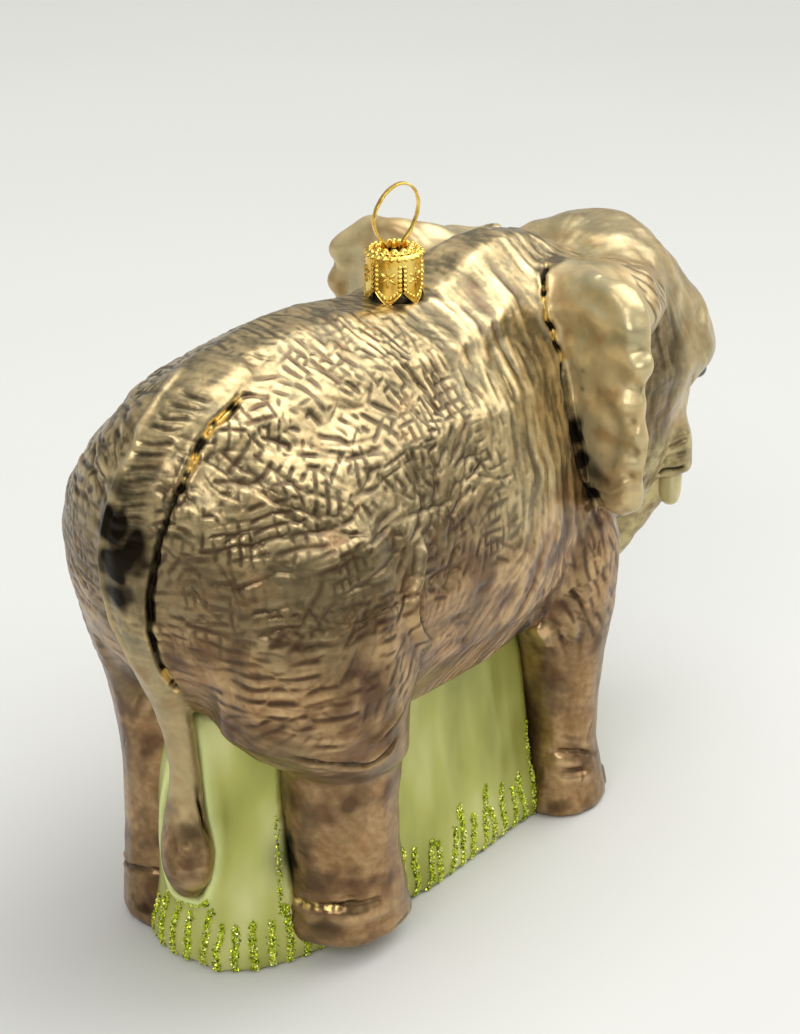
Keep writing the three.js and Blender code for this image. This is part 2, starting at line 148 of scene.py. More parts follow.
def curve_through(points, step):
    """A Catmull-Rom curve through the points, with a point every `step` or so."""
    points = np.asarray(points, float)
    padded = np.vstack([2 * points[0] - points[1], points, 2 * points[-1] - points[-2]])
    found = []
    for k in range(len(points) - 1):
        before, here, after, later = padded[k:k + 4]
        count = max(2, int(np.linalg.norm(after - here) / step))
        for t in np.linspace(0, 1, count, endpoint=False):
            found.append(0.5 * (
                2 * here + (after - before) * t + (2 * before - 5 * here + 4 * after - later) * t ** 2
                + (3 * here - before - 3 * after + later) * t ** 3
            ))
    found.append(points[-1])
    return np.array(found)


# ---------- meshes ----------

def lattice(rows, columns, closed=True):
    """Four-sided faces between rows of points. Where closed, the last column is joined to the first."""
    faces = []
    for row in range(rows - 1):
        for column in range(columns if closed else columns - 1):
            here = row * columns + column
            beside = row * columns + (column + 1) % columns
            faces.append((here, beside, beside + columns, here + columns))
    return faces


def place_object(name, data):
    item = bpy.data.objects.new(name, data)
    bpy.context.scene.collection.objects.link(item)
    return item


def make_object(name, points, faces, material, smooth=True):
    mesh = bpy.data.meshes.new(name)
    rows = faces.tolist() if isinstance(faces, np.ndarray) else faces
    mesh.from_pydata(to_metres(points).tolist(), [], rows)
    mesh.polygons.foreach_set("use_smooth", [smooth] * len(mesh.polygons))
    mesh.materials.append(material)
    mesh.update()
    return place_object(name, mesh)


def finish_piece(item, slot, *nodes):
    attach(item, "root")
    if nodes:
        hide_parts(*nodes)


def set_attributes(item, **values):
    for name, amounts in values.items():
        attribute = item.data.attributes.new(name, "FLOAT", "POINT")
        attribute.data.foreach_set("value", np.asarray(amounts, np.float32))


def applied(item, kind, **settings):
    """The object with one modifier applied to its mesh."""
    modifier = item.modifiers.new(kind, kind)
    for key, value in settings.items():
        setattr(modifier, key, value)
    evaluated = item.evaluated_get(bpy.context.evaluated_depsgraph_get())
    mesh = bpy.data.meshes.new_from_object(evaluated)
    item.modifiers.clear()
    item.data = mesh
    return item


def rows_of(source, key, kind=np.float32):
    """The three values that each member of one of a mesh's lists holds."""
    found = np.empty(len(source) * 3, kind)
    source.foreach_get(key, found)
    return found.reshape(-1, 3)


def points_of(item):
    return (rows_of(item.data.vertices, "co").astype(float) - FOOT) / MM


def point_normals(item):
    return rows_of(item.data.vertex_normals, "vector").astype(float)


def move_points(item, points):
    """Moves a mesh's points, but none of them below the floor."""
    points[:, 2] = np.maximum(points[:, 2], 0)
    item.data.vertices.foreach_set("co", to_metres(points).astype(np.float32).ravel())
    item.data.update()


def tree_of(item, points):
    return BVHTree.FromPolygons(points.tolist(), [tuple(face.vertices) for face in item.data.polygons])


def joined(parts):
    """One list of points and faces from several (points, faces)."""
    points, faces, start = [], [], 0
    for some_points, some_faces in parts:
        points.append(np.asarray(some_points, float))
        faces += [[start + i for i in face] for face in some_faces]
        start += len(some_points)
    return np.vstack(points), faces


# ---------- materials ----------

class Nodes:
    """Helpers that add nodes to a node tree and give back the socket to use."""

    def __init__(self, tree):
        self.tree = tree

    def node(self, kind, inputs=None, **settings):
        made = self.tree.nodes.new(kind)
        for key, value in settings.items():
            setattr(made, key, value)
        for key, value in (inputs or {}).items():
            self.feed(made.inputs[key], value)
        return made

    def feed(self, socket, value):
        if isinstance(value, bpy.types.NodeSocket):
            self.tree.links.new(value, socket)
        else:
            socket.default_value = value

    def place(self):
        return self.node("ShaderNodeTexCoord").outputs["Object"]

    def stretched(self, scale):
        return self.node("ShaderNodeMapping", {"Vector": self.place(), "Scale": scale}).outputs["Vector"]

    def noise(self, scale, detail, vector=None):
        inputs = {"Vector": vector or self.place(), "Scale": scale, "Detail": detail}
        return self.node("ShaderNodeTexNoise", inputs).outputs["Fac"]

    def attribute(self, name):
        return self.node("ShaderNodeAttribute", attribute_name=name).outputs["Fac"]

    def ramp(self, value, *stops, interpolation="LINEAR"):
        made = self.node("ShaderNodeValToRGB", {"Fac": value})
        made.color_ramp.interpolation = interpolation
        elements = made.color_ramp.elements
        while len(elements) < len(stops):
            elements.new(0.5)
        for element, (position, tint) in zip(elements, stops):
            element.position = position
            element.color = tint
        return made.outputs["Color"]

    def mix(self, factor, first, second, kind="MIX"):
        inputs = {"Factor": factor, "A": first, "B": second}
        return self.node("ShaderNodeMix", inputs, data_type="RGBA", blend_type=kind).outputs["Result"]

    def maths(self, operation, first, second):
        return self.node("ShaderNodeMath", {0: first, 1: second}, operation=operation).outputs["Value"]

    def between(self, value, low, high, out_low=0.0, out_high=1.0):
        inputs = {"Value": value, "From Min": low, "From Max": high, "To Min": out_low, "To Max": out_high}
        return self.node("ShaderNodeMapRange", inputs).outputs["Result"]

    def bump(self, height, distance, strength):
        inputs = {"Height": height, "Distance": distance, "Strength": strength}
        return self.node("ShaderNodeBump", inputs).outputs["Normal"]


class Finish(Nodes):
    """A node material, built up from one Principled BSDF."""

    def __init__(self, name, **sockets):
        self.material = bpy.data.materials.new(name)
        self.material.use_nodes = True
        super().__init__(self.material.node_tree)
        self.use(**sockets)

    def use(self, **sockets):
        shader = self.tree.nodes["Principled BSDF"]
        for key, value in sockets.items():
            self.feed(shader.inputs[key.replace("_", " ")], value)
        return self.material


def colour(red, green, blue):
    """A display colour from 0 to 255 as a linear one."""
    parts = [c / 255 for c in (red, green, blue)]
    return (*[c / 12.92 if c <= 0.04045 else ((c + 0.055) / 1.055) ** 2.4 for c in parts], 1.0)


HIGHLIGHT_CREAM = colour(232, 214, 168)
SAND = colour(196, 172, 124)
OLIVE = colour(128, 116, 84)
UMBER = colour(98, 76, 52)
HIGHLIGHT_FAWN = colour(208, 174, 126)
BROWN = colour(150, 116, 76)
DARK_BROWN = colour(92, 64, 40)
STRAW = colour(184, 172, 130)
HONEY = colour(242, 212, 154)
OCHRE = colour(170, 136, 82)
SHADE_AND_BLOTCH_OLIVE = colour(88, 72, 44)
RUST = colour(84, 56, 34)
TAN = colour(176, 132, 84)
LICHEN = colour(206, 194, 138)
MOSS = colour(104, 86, 50)
GOLD_CUT = colour(74, 54, 30)
BROWN_CUT = colour(66, 42, 24)
NAIL_GREY = colour(118, 120, 120)
SOOT = colour(30, 24, 16)
BARE_GOLD = colour(250, 214, 130)


def hide_finish():
    """Silvered glass under tinted lacquer: paler on ridges as a painted highlight, darker in grooves, browner
    on the legs.
    """
    finish = Finish("hide_glass", Coat_Roughness=0.14)
    brown = finish.attribute("brown")
    smooth = finish.attribute("smooth")
    ink = finish.between(finish.attribute("ink"), 0.08, 0.72)
    blotches = finish.noise(95, 4)
    patches = finish.noise(170, 2)
    grain = finish.noise(900, 3)
    # relief sets the tone: darker paint in the grooves, and a painted highlight (paler colour) on ridges,
    # lips and bumps. HIGHLIGHT_CREAM and HIGHLIGHT_FAWN are the colours at that painted highlight.
    height = finish.maths("ADD", finish.attribute("relief"), finish.between(grain, 0.3, 0.7, -0.07, 0.07))
    gold = finish.ramp(height, (0.12, UMBER), (0.42, OLIVE), (0.62, SAND), (0.9, HIGHLIGHT_CREAM))
    russet = finish.ramp(height, (0.15, DARK_BROWN), (0.45, BROWN), (0.8, HIGHLIGHT_FAWN))
    body = finish.mix(brown, gold, russet)
    calm = finish.mix(finish.between(blotches, 0.35, 0.65), STRAW, HONEY)
    calm = finish.mix(finish.between(patches, 0.5, 0.68, 0.0, 0.6), calm, OCHRE)
    cut = finish.mix(brown, GOLD_CUT, BROWN_CUT)
    spots = finish.mix(finish.between(finish.noise(330, 2), 0.4, 0.66), LICHEN, MOSS)
    coats = (
        (finish.maths("MULTIPLY", smooth, 0.9), calm),
        # Painted shade low on the rump and flank, on the temples, under the thighs and low on the tail, with
        # dark paint blotches on the legs.
        (finish.between(finish.attribute("dusk"), 0, 1, 0.0, 0.72), SHADE_AND_BLOTCH_OLIVE),
        (finish.maths("MULTIPLY", brown, finish.between(finish.noise(135, 2), 0.47, 0.66, 0.0, 0.9)), RUST),
        (finish.between(finish.attribute("groove"), 0.2, 0.9, 0.0, 0.76), cut),
        (finish.between(blotches, 0.45, 0.7, 0.0, 0.3), OLIVE),
        (finish.between(patches, 0.54, 0.74, 0.0, 0.25), TAN),
        (finish.maths("MULTIPLY", finish.attribute("mottle"), 0.6), spots),
        (finish.attribute("nail"), NAIL_GREY),
        (ink, SOOT),
        (finish.attribute("gold"), BARE_GOLD),
    )
    for share, coat in coats:
        body = finish.mix(share, body, coat)
    clean = finish.maths("SUBTRACT", 1.0, ink)
    return finish.use(
        Base_Color=body,
        Roughness=finish.between(blotches, 0.3, 0.7, 0.28, 0.4),
        Metallic=finish.between(smooth, 0, 1, 0.78, 0.5),
        Normal=finish.bump(grain, 0.00012, 0.5),
        Coat_Weight=finish.maths("MULTIPLY", clean, 0.16),
        Specular_IOR_Level=finish.maths("MULTIPLY", clean, 0.5),
    )


def grass_finish():
    """Pearly yellow-green paint laid on with broad upright strokes."""
    finish = Finish("grass_glass", Metallic=0.35, Roughness=0.38, Coat_Weight=0.3, Coat_Roughness=0.15)
    strokes = finish.noise(1, 3, finish.stretched((60, 60, 22)))
    fine = finish.noise(1, 2, finish.stretched((900, 900, 60)))
    green = finish.ramp(
        strokes, (0.34, colour(150, 152, 62)), (0.5, colour(182, 184, 94)), (0.66, colour(214, 214, 146)),
    )
    # Painted highlight: paler green along the raised rims beside the tail.
    green = finish.mix(finish.attribute("rim"), green, colour(222, 230, 152))
    # Painted shade where the flesh meets the wall, and the hind leg's run black paint.
    green = finish.mix(finish.attribute("ink"), green, colour(70, 74, 30))
    return finish.use(Base_Color=green, Normal=finish.bump(fine, 0.0001, 0.5))


def glitter_finish():
    finish = Finish("glitter", Metallic=0.75, Roughness=0.28)
    chip = finish.attribute("chip")
    tint = finish.ramp(
        chip, (0.0, colour(70, 84, 8)), (0.18, colour(136, 156, 12)), (0.45, colour(200, 216, 36)),
        (0.8, colour(232, 238, 104)), (1.0, colour(252, 250, 200)),
    )
    return finish.use(Base_Color=tint, Normal=finish.bump(finish.noise(2500, 1), 0.00004, 0.6))


def brass_finish(name, grain):
    finish = Finish(name, Metallic=1.0, Roughness=0.24)
    worn = finish.noise(grain, 4)
    tint = finish.ramp(worn, (0.35, colour(224, 176, 66)), (0.65, colour(252, 222, 122)))
    rough = finish.between(worn, 0.3, 0.7, 0.16, 0.34)
    return finish.use(Base_Color=tint, Roughness=rough, Normal=finish.bump(worn, 0.00006, 0.5))


def bare_glass_finish():
    finish = Finish("bare_glass", Metallic=0.55, Roughness=0.12, Coat_Weight=0.6, Coat_Roughness=0.05)
    tint = finish.ramp(finish.noise(260, 3), (0.35, colour(34, 30, 24)), (0.7, colour(92, 84, 66)))
    return finish.use(Base_Color=tint)


def ivory_finish():
    finish = Finish("ivory_paint", Metallic=0.1, Roughness=0.3, Coat_Weight=0.5, Coat_Roughness=0.1)
    rings = finish.noise(1, 3, finish.stretched((500, 500, 180)))
    tint = finish.ramp(rings, (0.3, colour(196, 182, 122)), (0.7, colour(236, 226, 178)))
    return finish.use(Base_Color=tint, Normal=finish.bump(rings, 0.0001, 0.3))


def eye_finish():
    finish = Finish("eye_paint", Roughness=0.08, Coat_Weight=1.0, Coat_Roughness=0.03)
    tint = finish.ramp(finish.noise(700, 2), (0.3, colour(8, 8, 12)), (0.7, colour(38, 40, 52)))
    return finish.use(Base_Color=tint)


def floor_finish():
    finish = Finish("floor", Roughness=0.75)
    tint = finish.ramp(finish.noise(3, 2), (0.3, colour(207, 207, 203)), (0.7, colour(211, 211, 208)))
    return finish.use(Base_Color=tint)


# ---------- the camera, the floor and the light ----------

CAMERA_PLACE = (-243.4, 288.5, 242.8)
CAMERA_AZIMUTH = 220.0
CAMERA_ELEVATION = 25.25
CAMERA_LENS = 80.9
FLOOR_REACH = 40.0 # metres
WINDOW = (-0.34, -0.62, 0.70) # the way to a broad soft light in front of the elephant
# How bright the light is at two stops: by how near a direction is to the window, and by how high it is.
WINDOW_LEVELS = ((0.79, 0.0), (0.97, 2.3))
SKY_LEVELS = ((0.05, 0.26), (0.9, 0.68))
WARMTH = 0.98 # blue, as a share of red and green
LAMP_AIM = (0, 0, 60)
# Each lamp's name, its place and size in metres, and its power in watts.
LAMPS = [
    ("overhead", (-0.05, -0.16, 0.78), (0.65, 0.65), 2.6),
    ("behind_camera", (-0.35, 0.85, 0.75), (0.7, 0.5), 4.6),
]


def look_along(item, direction):
    item.rotation_mode = "QUATERNION"
    item.rotation_quaternion = direction.to_track_quat("-Z", "Y")


def camera():
    data = bpy.data.cameras.new("camera")
    data.lens = CAMERA_LENS
    item = place_object("camera", data)
    turn, lift = math.radians(CAMERA_AZIMUTH), math.radians(CAMERA_ELEVATION)
    back = Vector((math.sin(turn) * math.cos(lift), -math.cos(turn) * math.cos(lift), math.sin(lift)))
    item.location = to_metres(CAMERA_PLACE)
    look_along(item, -back)
    bpy.context.scene.camera = item


def lamp(name, place, size, power):
    data = bpy.data.lights.new(name, "AREA")
    data.shape = "RECTANGLE"
    data.size, data.size_y = size
    data.energy = power
    item = place_object(name, data)
    item.location = Vector(place)
    look_along(item, Vector(to_metres(LAMP_AIM)) - Vector(place))


def pale_floor():
    corners = [(x * FLOOR_REACH, y * FLOOR_REACH, 0) for x, y in ((-1, -1), (1, -1), (1, 1), (-1, 1))]
    mesh = bpy.data.meshes.new("floor")
    mesh.from_pydata(corners, [], [(0, 1, 2, 3)])
    mesh.materials.append(floor_finish())
    place_object("floor", mesh)


def room():
    """An even room, brighter overhead, with a broad soft light in front."""
    world = bpy.data.worlds.new("studio")
    bpy.context.scene.world = world
    world.use_nodes = True
    nodes = Nodes(world.node_tree)
    direction = nodes.node("ShaderNodeTexCoord").outputs["Generated"]
    aims = {0: direction, 1: Vector(WINDOW).normalized()}
    nearness = nodes.node("ShaderNodeVectorMath", aims, operation="DOT_PRODUCT").outputs["Value"]
    height = nodes.node("ShaderNodeSeparateXYZ", {"Vector": direction}).outputs["Z"]
    lights = []
    for source, levels in ((height, SKY_LEVELS), (nearness, WINDOW_LEVELS)):
        stops = [(position, (level, level, level * WARMTH, 1)) for position, level in levels]
        lights.append(nodes.ramp(source, *stops, interpolation="EASE"))
    background = nodes.tree.nodes["Background"]
    nodes.feed(background.inputs["Strength"], 1.0)
    nodes.feed(background.inputs["Color"], nodes.mix(1.0, *lights, kind="ADD"))


def studio():
    pale_floor()
    room()
    bpy.context.scene.view_settings.view_transform = "Standard"
    for name, place, size, power in LAMPS:
        lamp(name, place, size, power)


# ---------- distances to the CAD solids ----------

VOXEL = 0.7 # the size of a cell
BAND = 9 # cells on each side of a surface that know their distance to it
MARGIN = BAND + 2


class Grid:
    """A box of cells round the whole ornament, and the distance from each to a CAD node's surface."""

    def __init__(self):
        low = (np.array(CAD_LOW) - FOOT) / MM
        high = (np.array(CAD_HIGH) - FOOT) / MM
        self.low = np.floor(low / VOXEL).astype(int) - MARGIN
        self.shape = np.ceil(high / VOXEL).astype(int) + MARGIN - self.low
        self.transform = openvdb.createLinearTransform(voxelSize=VOXEL)

    def places(self):
        """X, Y and Z of the cells, as arrays that spread over the grid."""
        return np.ix_(*[(np.arange(n) + low) * VOXEL for n, low in zip(self.shape, self.low)])

    def to_node(self, name):
        """The distance from each cell to a CAD node's surface, below 0 inside it."""
        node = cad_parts[name]
        node.data.calc_loop_triangles()
        triangles = rows_of(node.data.loop_triangles, "vertices", np.int32).astype(np.uint32)
        found = openvdb.FloatGrid.createLevelSetFromPolygons(
            points_of(node).astype(np.float32), triangles=triangles, transform=self.transform, halfWidth=BAND,
        )
        values = np.empty(tuple(self.shape), np.float32)
        found.copyToArray(values, ijk=tuple(int(i) for i in self.low))
        return values

    def surface(self, values):
        """Points and four-sided faces where the values pass zero, facing out."""
        grid = openvdb.FloatGrid(BAND * VOXEL)
        grid.transform = self.transform
        grid.copyFromArray(values.astype(np.float32), ijk=tuple(int(i) for i in self.low))
        points, quads = grid.convertToQuads(0.0)
        points, quads = points.astype(float), quads.astype(np.int64)
        a, b, c = points[quads[:, 0]], points[quads[:, 1]], points[quads[:, 2]]
        if np.einsum("ij,ij->i", a, np.cross(b, c)).sum() < 0:
            quads = quads[:, ::-1]
        return points, quads

    def at(self, values, points):
        """The values at some points, with straight blends between the cells."""
        place = points / VOXEL - self.low
        low = np.clip(np.floor(place).astype(int), 0, self.shape - 2)
        return blended(values, low, low + 1, np.clip(place - low, 0, 1))


def fused(first, second, reach):
    """The smaller of two distances, with the corner between them filled."""
    near = np.maximum(reach - np.abs(first - second), 0) / reach
    return np.minimum(first, second) - near * near * reach / 4


def blurred(values):
    for axis in range(3):
        values = (np.roll(values, 1, axis) + 2 * values + np.roll(values, -1, axis)) / 4
    return values


class Web:
    """The neighbours of every point of a four-sided mesh, for smoothing what the points hold."""

    def __init__(self, faces):
        pairs = np.vstack([np.stack([faces[:, i], faces[:, (i + 1) % 4]], 1) for i in range(4)])
        pairs = np.unique(np.vstack([pairs, pairs[:, ::-1]]), axis=0)
        self.starts = np.flatnonzero(np.r_[True, pairs[1:, 0] != pairs[:-1, 0]])
        self.counts = np.diff(np.r_[self.starts, len(pairs)])[:, None]
        self.neighbours = pairs[:, 1]

    def middle(self, values):
        return np.add.reduceat(values[self.neighbours], self.starts, axis=0) / self.counts

    def relaxed(self, points, strength, passes):
        """Smooths the points towards their neighbours and back, which takes out facets and keeps the size."""
        for step in range(passes):
            share = 0.6 if step % 2 == 0 else -0.61
            points = points + share * strength[:, None] * (self.middle(points) - points)
        return points

    def spread(self, values, passes):
        values = values[:, None]
        for _ in range(passes):
            values = 0.5 * values + 0.5 * self.middle(values)
        return values[:, 0]


def normals_of(points, faces):
    first, second, third, fourth = (points[faces[:, i]] for i in range(4))
    face_normals = np.cross(third - first, fourth - second)
    total = np.zeros_like(points)
    for i in range(4):
        np.add.at(total, faces[:, i], face_normals)
    return unit(total)


# ---------- where the hide's marks are ----------

# Where the hide's strokes run: the two ends of a stroke, given for the right side.
RIGHT_STROKES = [
    ((-2, 28, 109), (-11, 27, 105)), ((-3, 41, 108), (-13, 38, 103)), ((-2, 14, 108), (-12, 12, 105)),
    ((-10, 60, 97), (-15, 55, 96)), ((-12, 62, 86), (-19, 58, 86)), ((-8, 64, 74), (-19, 61, 76)),
    ((-19, 61, 76), (-27, 55, 78)), ((-16, 33, 101), (-22, 26, 97)), ((-23, 25, 94), (-28, 29, 84)),
    ((-29, 48, 83), (-29, 34, 86)), ((-28, 22, 82), (-28, 4, 84)), ((-4, -17, 110), (-17, -19, 97)),
    ((-17, -19, 97), (-25, -15, 80)), ((-4, -3, 106), (-20, -1, 96)), ((-20, -1, 96), (-27, 2, 86)),
    ((-31, 26, 70), (-31, 14, 68)), ((-29, 0, 58), (-24, 10, 44)), ((-26, -13, 79), (-27, -12, 62)),
    ((-19, 60, 72), (-28, 55, 68)), ((-31, 52, 73), (-28, 58, 68)), ((-32, 46, 74), (-33, 36, 66)),
    ((-28, 56, 58), (-33, 42, 56)), ((-32, 40, 54), (-32, 34, 62)), ((-19, 45, 36), (-24, 42, 28)),
    ((-26, -22, 51), (-28, -28, 42)), ((-25, -22, 35), (-25, -25, 22)), ((-20, 44, 20), (-27, 38, 20)),
    ((-8, -50, 104), (-12, -60, 100)), ((-18, -62, 86), (-16, -66, 74)), ((-17, -52, 90), (-17, -52, 76)),
    ((-9, -78, 66), (-6, -82, 58)), ((-14, 55, 90), (-21, 50, 92)), ((-24, 44, 96), (-20, 50, 88)),
]
STROKE_REACH = 9.0

# The grooves and ridges that have a place of their own, on the right side where both sides have one.
TAIL_GROOVE = [
    (-8, 46, 105), (-8.6, 52, 103), (-9, 56, 101), (-9.6, 61, 96), (-8.2, 64, 90), (-6.7, 65, 83),
    (-5.3, 65.5, 76), (-4.5, 65, 68), (-4.4, 62.5, 61), (-4.6, 59.5, 56),
]
TAIL_MIDDLE = [(-3.4, 52.5, 105.8), (-2.4, 59.2, 102), (-1, 63.4, 96.8), (-0.6, 66.4, 90.2), (-0.6, 67, 84)]
TAIL_LEFT = [
    (3, 44, 106), (0.7, 55.7, 104.3), (-0.2, 61.6, 99.9), (1.4, 64.4, 94.5), (2.4, 66.2, 89.3),
    (3.4, 67, 82.9), (4, 66.8, 77.2), (3.2, 65.6, 69), (0.9, 64.5, 62.5), (-1.2, 61.5, 55.8),
]
EAR_GROOVE = [
    (-9, -31.5, 104), (-12, -27, 101), (-15, -25.2, 96.5), (-18.3, -23.2, 92.6), (-20.5, -22, 88),
    (-22.6, -21, 83), (-24.7, -20, 78), (-25.2, -22, 72), (-25, -25.5, 66.5),
]
FLAP = [
    (-30, 28, 81), (-30.5, 30.5, 78), (-30.9, 32, 75), (-32.5, 34.6, 71.2), (-32.5, 33.4, 66.2),
    (-30.4, 28.5, 60.8),
]
KNEE = [
    (-24, 56, 50), (-27.8, 56, 50), (-30.4, 48.5, 47.4), (-31.3, 43.3, 45.9), (-32.0, 40, 47),
    (-31.3, 35.5, 48.5),
]
FLANK_LINE = [(-27, 51, 80), (-29, 48, 83), (-29.4, 40, 84), (-28.8, 34, 85), (-28.4, 26, 84), (-28, 16, 83)]
RUMP_LINE = [(-8, 64, 74), (-14, 63, 74.4), (-19, 61, 76), (-25, 57, 77.5), (-28, 53, 80)]
ANKLE = [
    (-13.5, 45, 13), (-16, 44, 12.4), (-20, 43.2, 12.8), (-23.2, 41.8, 13.4), (-25.4, 39, 13.6),
    (-27, 34.5, 13.2),
]
LEFT_ANKLE = [(6, 50.6, 11.4), (9, 53.2, 12.6), (12, 54, 12.2), (16, 53.6, 10.8), (20, 51, 10.4)]
WRIST = [(-20.4, -20.4, 14.2), (-23.2, -22.4, 14.4), (-25, -26.8, 13.1), (-25, -31, 11)]
WRIST_RIDGE = [(-19.6, -19.6, 16.6), (-22.6, -21.8, 17.1), (-24.6, -25.5, 15.7), (-24.6, -30.6, 13.4)]
ELBOW_BACK = [(-20.2, -16.4, 47.4), (-21.2, -16.9, 44.3), (-21.6, -17.8, 41), (-21.5, -18.5, 37.6)]
ELBOW_FRONT = [(-24.4, -18.6, 47.8), (-25.4, -19.9, 44.9), (-25.8, -20.8, 41.6), (-25.1, -21.4, 38.2)]
ANKLE_RIDGE = [(-15.4, 44.5, 9.6), (-20, 44, 10.4), (-24.2, 42, 10.6), (-27, 37.5, 10.8), (-27.4, 33, 10.6)]
KNEE_RIDGE = [(-32.6, 45.2, 50.4), (-33, 42.7, 52.0), (-32.6, 40.2, 53.0), (-32.3, 36.4, 54.6)]
TUFT_EDGE = [(-4.2, 55, 38), (-4.8, 54.6, 33), (-5.6, 53.6, 28), (-5.8, 53.4, 22)]

# Grooves: path, width, depth and, where they differ from a plain one, Hide.crease's other settings.
CREASES = [
    (TAIL_GROOVE, 0.55, 1.0, dict(ink=1.0, lip=0.3, ends=0.04, broken=0.3, seed=3.1)),
    ([(x + 0.3, y - 2.0, z) for x, y, z in FLAP[2:]], 0.6, 0.7, dict(ink=0.6, ends=0.25)),
    (KNEE, 0.6, 0.8, dict(ink=0.6, lip=0.3, ends=0.2)),
    (FLANK_LINE, 0.6, 0.3, dict(ink=0.45, ends=0.25, broken=0.5, seed=1.1)),
    (RUMP_LINE, 0.6, 0.3, dict(ink=0.45, ends=0.2, broken=0.6, seed=2.3)),
    (ANKLE, 0.7, 0.9, dict(ink=0.62, lip=0.35, ends=0.1, broken=0.5, seed=5.0)),
    (LEFT_ANKLE, 0.5, 0.6, dict(ink=0.5, lip=0.25, broken=0.5, seed=6.0)),
    (WRIST, 0.5, 0.6, dict(ink=0.36, lip=0.3, ends=0.3, broken=0.5, seed=7.0)),
    ([(-21.4, -20.8, 10.6), (-24.4, -24.4, 9.9), (-25.9, -29.4, 8.8)], 0.5, 0.4, dict(ink=0.3, ends=0.4)),
    # the elbow
    ([(-20.6, -15.6, 47.2), (-22.4, -17.0, 45.4), (-23.4, -18.4, 43.4)], 0.7, 0.5, dict(ink=0.4)),
    ([(-25.6, -18.6, 51.6), (-26.6, -20.2, 49.4), (-27.2, -21.8, 47.4)], 0.7, 0.5, dict(ink=0.4)),
    ([(-23.6, -18.4, 41.4), (-24.8, -20.2, 39.0)], 0.6, 0.4, dict(ink=0.35)),
    # above the knee
    ([(-33, 43.6, 49.8), (-32.4, 40, 51), (-31.8, 36.8, 52.6)], 0.5, 0.5, dict(ink=0.45)),
    # the tail's tuft
    ([(-0.8, 59, 29), (-1.4, 60, 25), (-0.6, 60, 21)], 0.7, 0.2, dict(ink=0.35, ends=0.4)),
    ([(-3.4, 58.4, 28), (-3.2, 59, 24.6)], 0.7, 0.2, dict(ink=0.35, ends=0.4)),
    (TUFT_EDGE, 0.5, 0.5, dict(ink=0.8, ends=0.45)),
]

# Ridges: path, width, height, the share of the path that each end fades over, and how much paler they are.
RIDGES = [
    # The paler colour of a ridge is a painted highlight.
    (TAIL_LEFT, 0.7, 0.5, 0.15, 1.5),
    (FLAP, 1.0, 1.5, 0.15, 5.0),
    (WRIST_RIDGE, 1.1, 0.55, 0.4, 1.3),
    ([(-20, -19.8, 12.4), (-23, -22.4, 12.2), (-25, -26.8, 11.0)], 1.0, 0.55, 0.4, 1.3),
    ([(-21.6, -20.6, 8.6), (-24.6, -24.4, 8.4), (-25.9, -28.7, 7.4)], 1.0, 0.6, 0.4, 1.3),
    (ELBOW_BACK, 0.8, 0.9, 0.4, 3.6),
    (ELBOW_FRONT, 0.8, 0.8, 0.4, 3.0),
    (ANKLE_RIDGE, 1.1, 0.45, 0.15, 1.0),
    (KNEE_RIDGE, 0.7, 0.7, 0.15, 2.4),
    # the tail's tuft
    ([(-3.6, 58.6, 21.6), (-4.4, 58, 18), (-4.2, 57.4, 16)], 1.7, 0.15, 0.15, 3.0),
    ([(-1.6, 58.6, 33), (-2.2, 58.8, 29)], 1.4, 0.1, 0.15, 2.0),
]

# Bare gold in a groove: path, the shares of its length between which it lies, and the specks' size.
GOLD_SPECKS = [
    (TAIL_GROOVE, 0.0, 0.3, 1.5), (TAIL_GROOVE, 0.9, 1.0, 1.1), (ANKLE, 0.05, 0.5, 0.8),
]

# Where the black paint has run: centre, reach and darkness.
STAINS = [
    # the tail
    ((0.6, 67, 87.4), (5.0, 5, 3.8), 0.95), ((0.2, 67.7, 81.0), (4.2, 5, 3.4), 0.95),
    ((-3.4, 66.5, 85), (2.6, 4, 5), 0.8), ((-0.8, 64.5, 93), (4.4, 4, 2.2), 0.6),
    ((0.2, 67.6, 75.4), (3.6, 4, 2.6), 0.8), ((-2.9, 57.2, 27.6), (2.4, 4, 2.2), 0.42),
    ((-0.4, 58, 24), (1.2, 4, 3.2), 0.3),
    # the fore leg
    ((-22.8, -21.6, 2.9), (2.8, 3.0, 1.5), 0.46), ((-19.6, -20.2, 9), (1.2, 1.4, 3.0), 0.5),
    ((-22.5, -5.5, 47), (3.2, 3.4, 4.4), 0.95),
    # the hind legs
    ((-13.4, 44.6, 21), (2.2, 3, 4.4), 0.95), ((-21, 43, 8.4), (3.0, 2.6, 2.4), 0.4),
    ((-24.4, 40.5, 12.4), (3.6, 2.6, 1.1), 0.5), ((12, 54.5, 4.1), (2.4, 2, 1.4), 0.6),
    # spots on the back and the thigh
    ((-11.5, 25.4, 105), (1.3, 1.3, 1.0), 0.4), ((-8.8, 46.2, 104), (1.3, 1.3, 1.0), 0.4),
    ((-12.1, 54.1, 99.4), (1.3, 1.3, 1.0), 0.4), ((-32.6, 49.4, 65.1), (1.3, 1.3, 1.0), 0.4),
]

# Broad swellings: centre, reach and height. They are the tuft, the elbow, the fore leg's shin and the ankle.
SWELLINGS = [
    ((-2.4, 57, 20.5), 5.4, 1.7), ((-20, -15, 44), 5, 2.6), ((-16, -19, 17), 8, -1.5),
    ((-14, 43.5, 7.5), 5, 1.7),
]

BELLY_FOLDS = [(-31.9, 25, 70.7), (-31.4, 14.5, 66.4), (-31.4, 21.6, 63.8), (-31, 9, 70), (-30.4, 19, 58)]

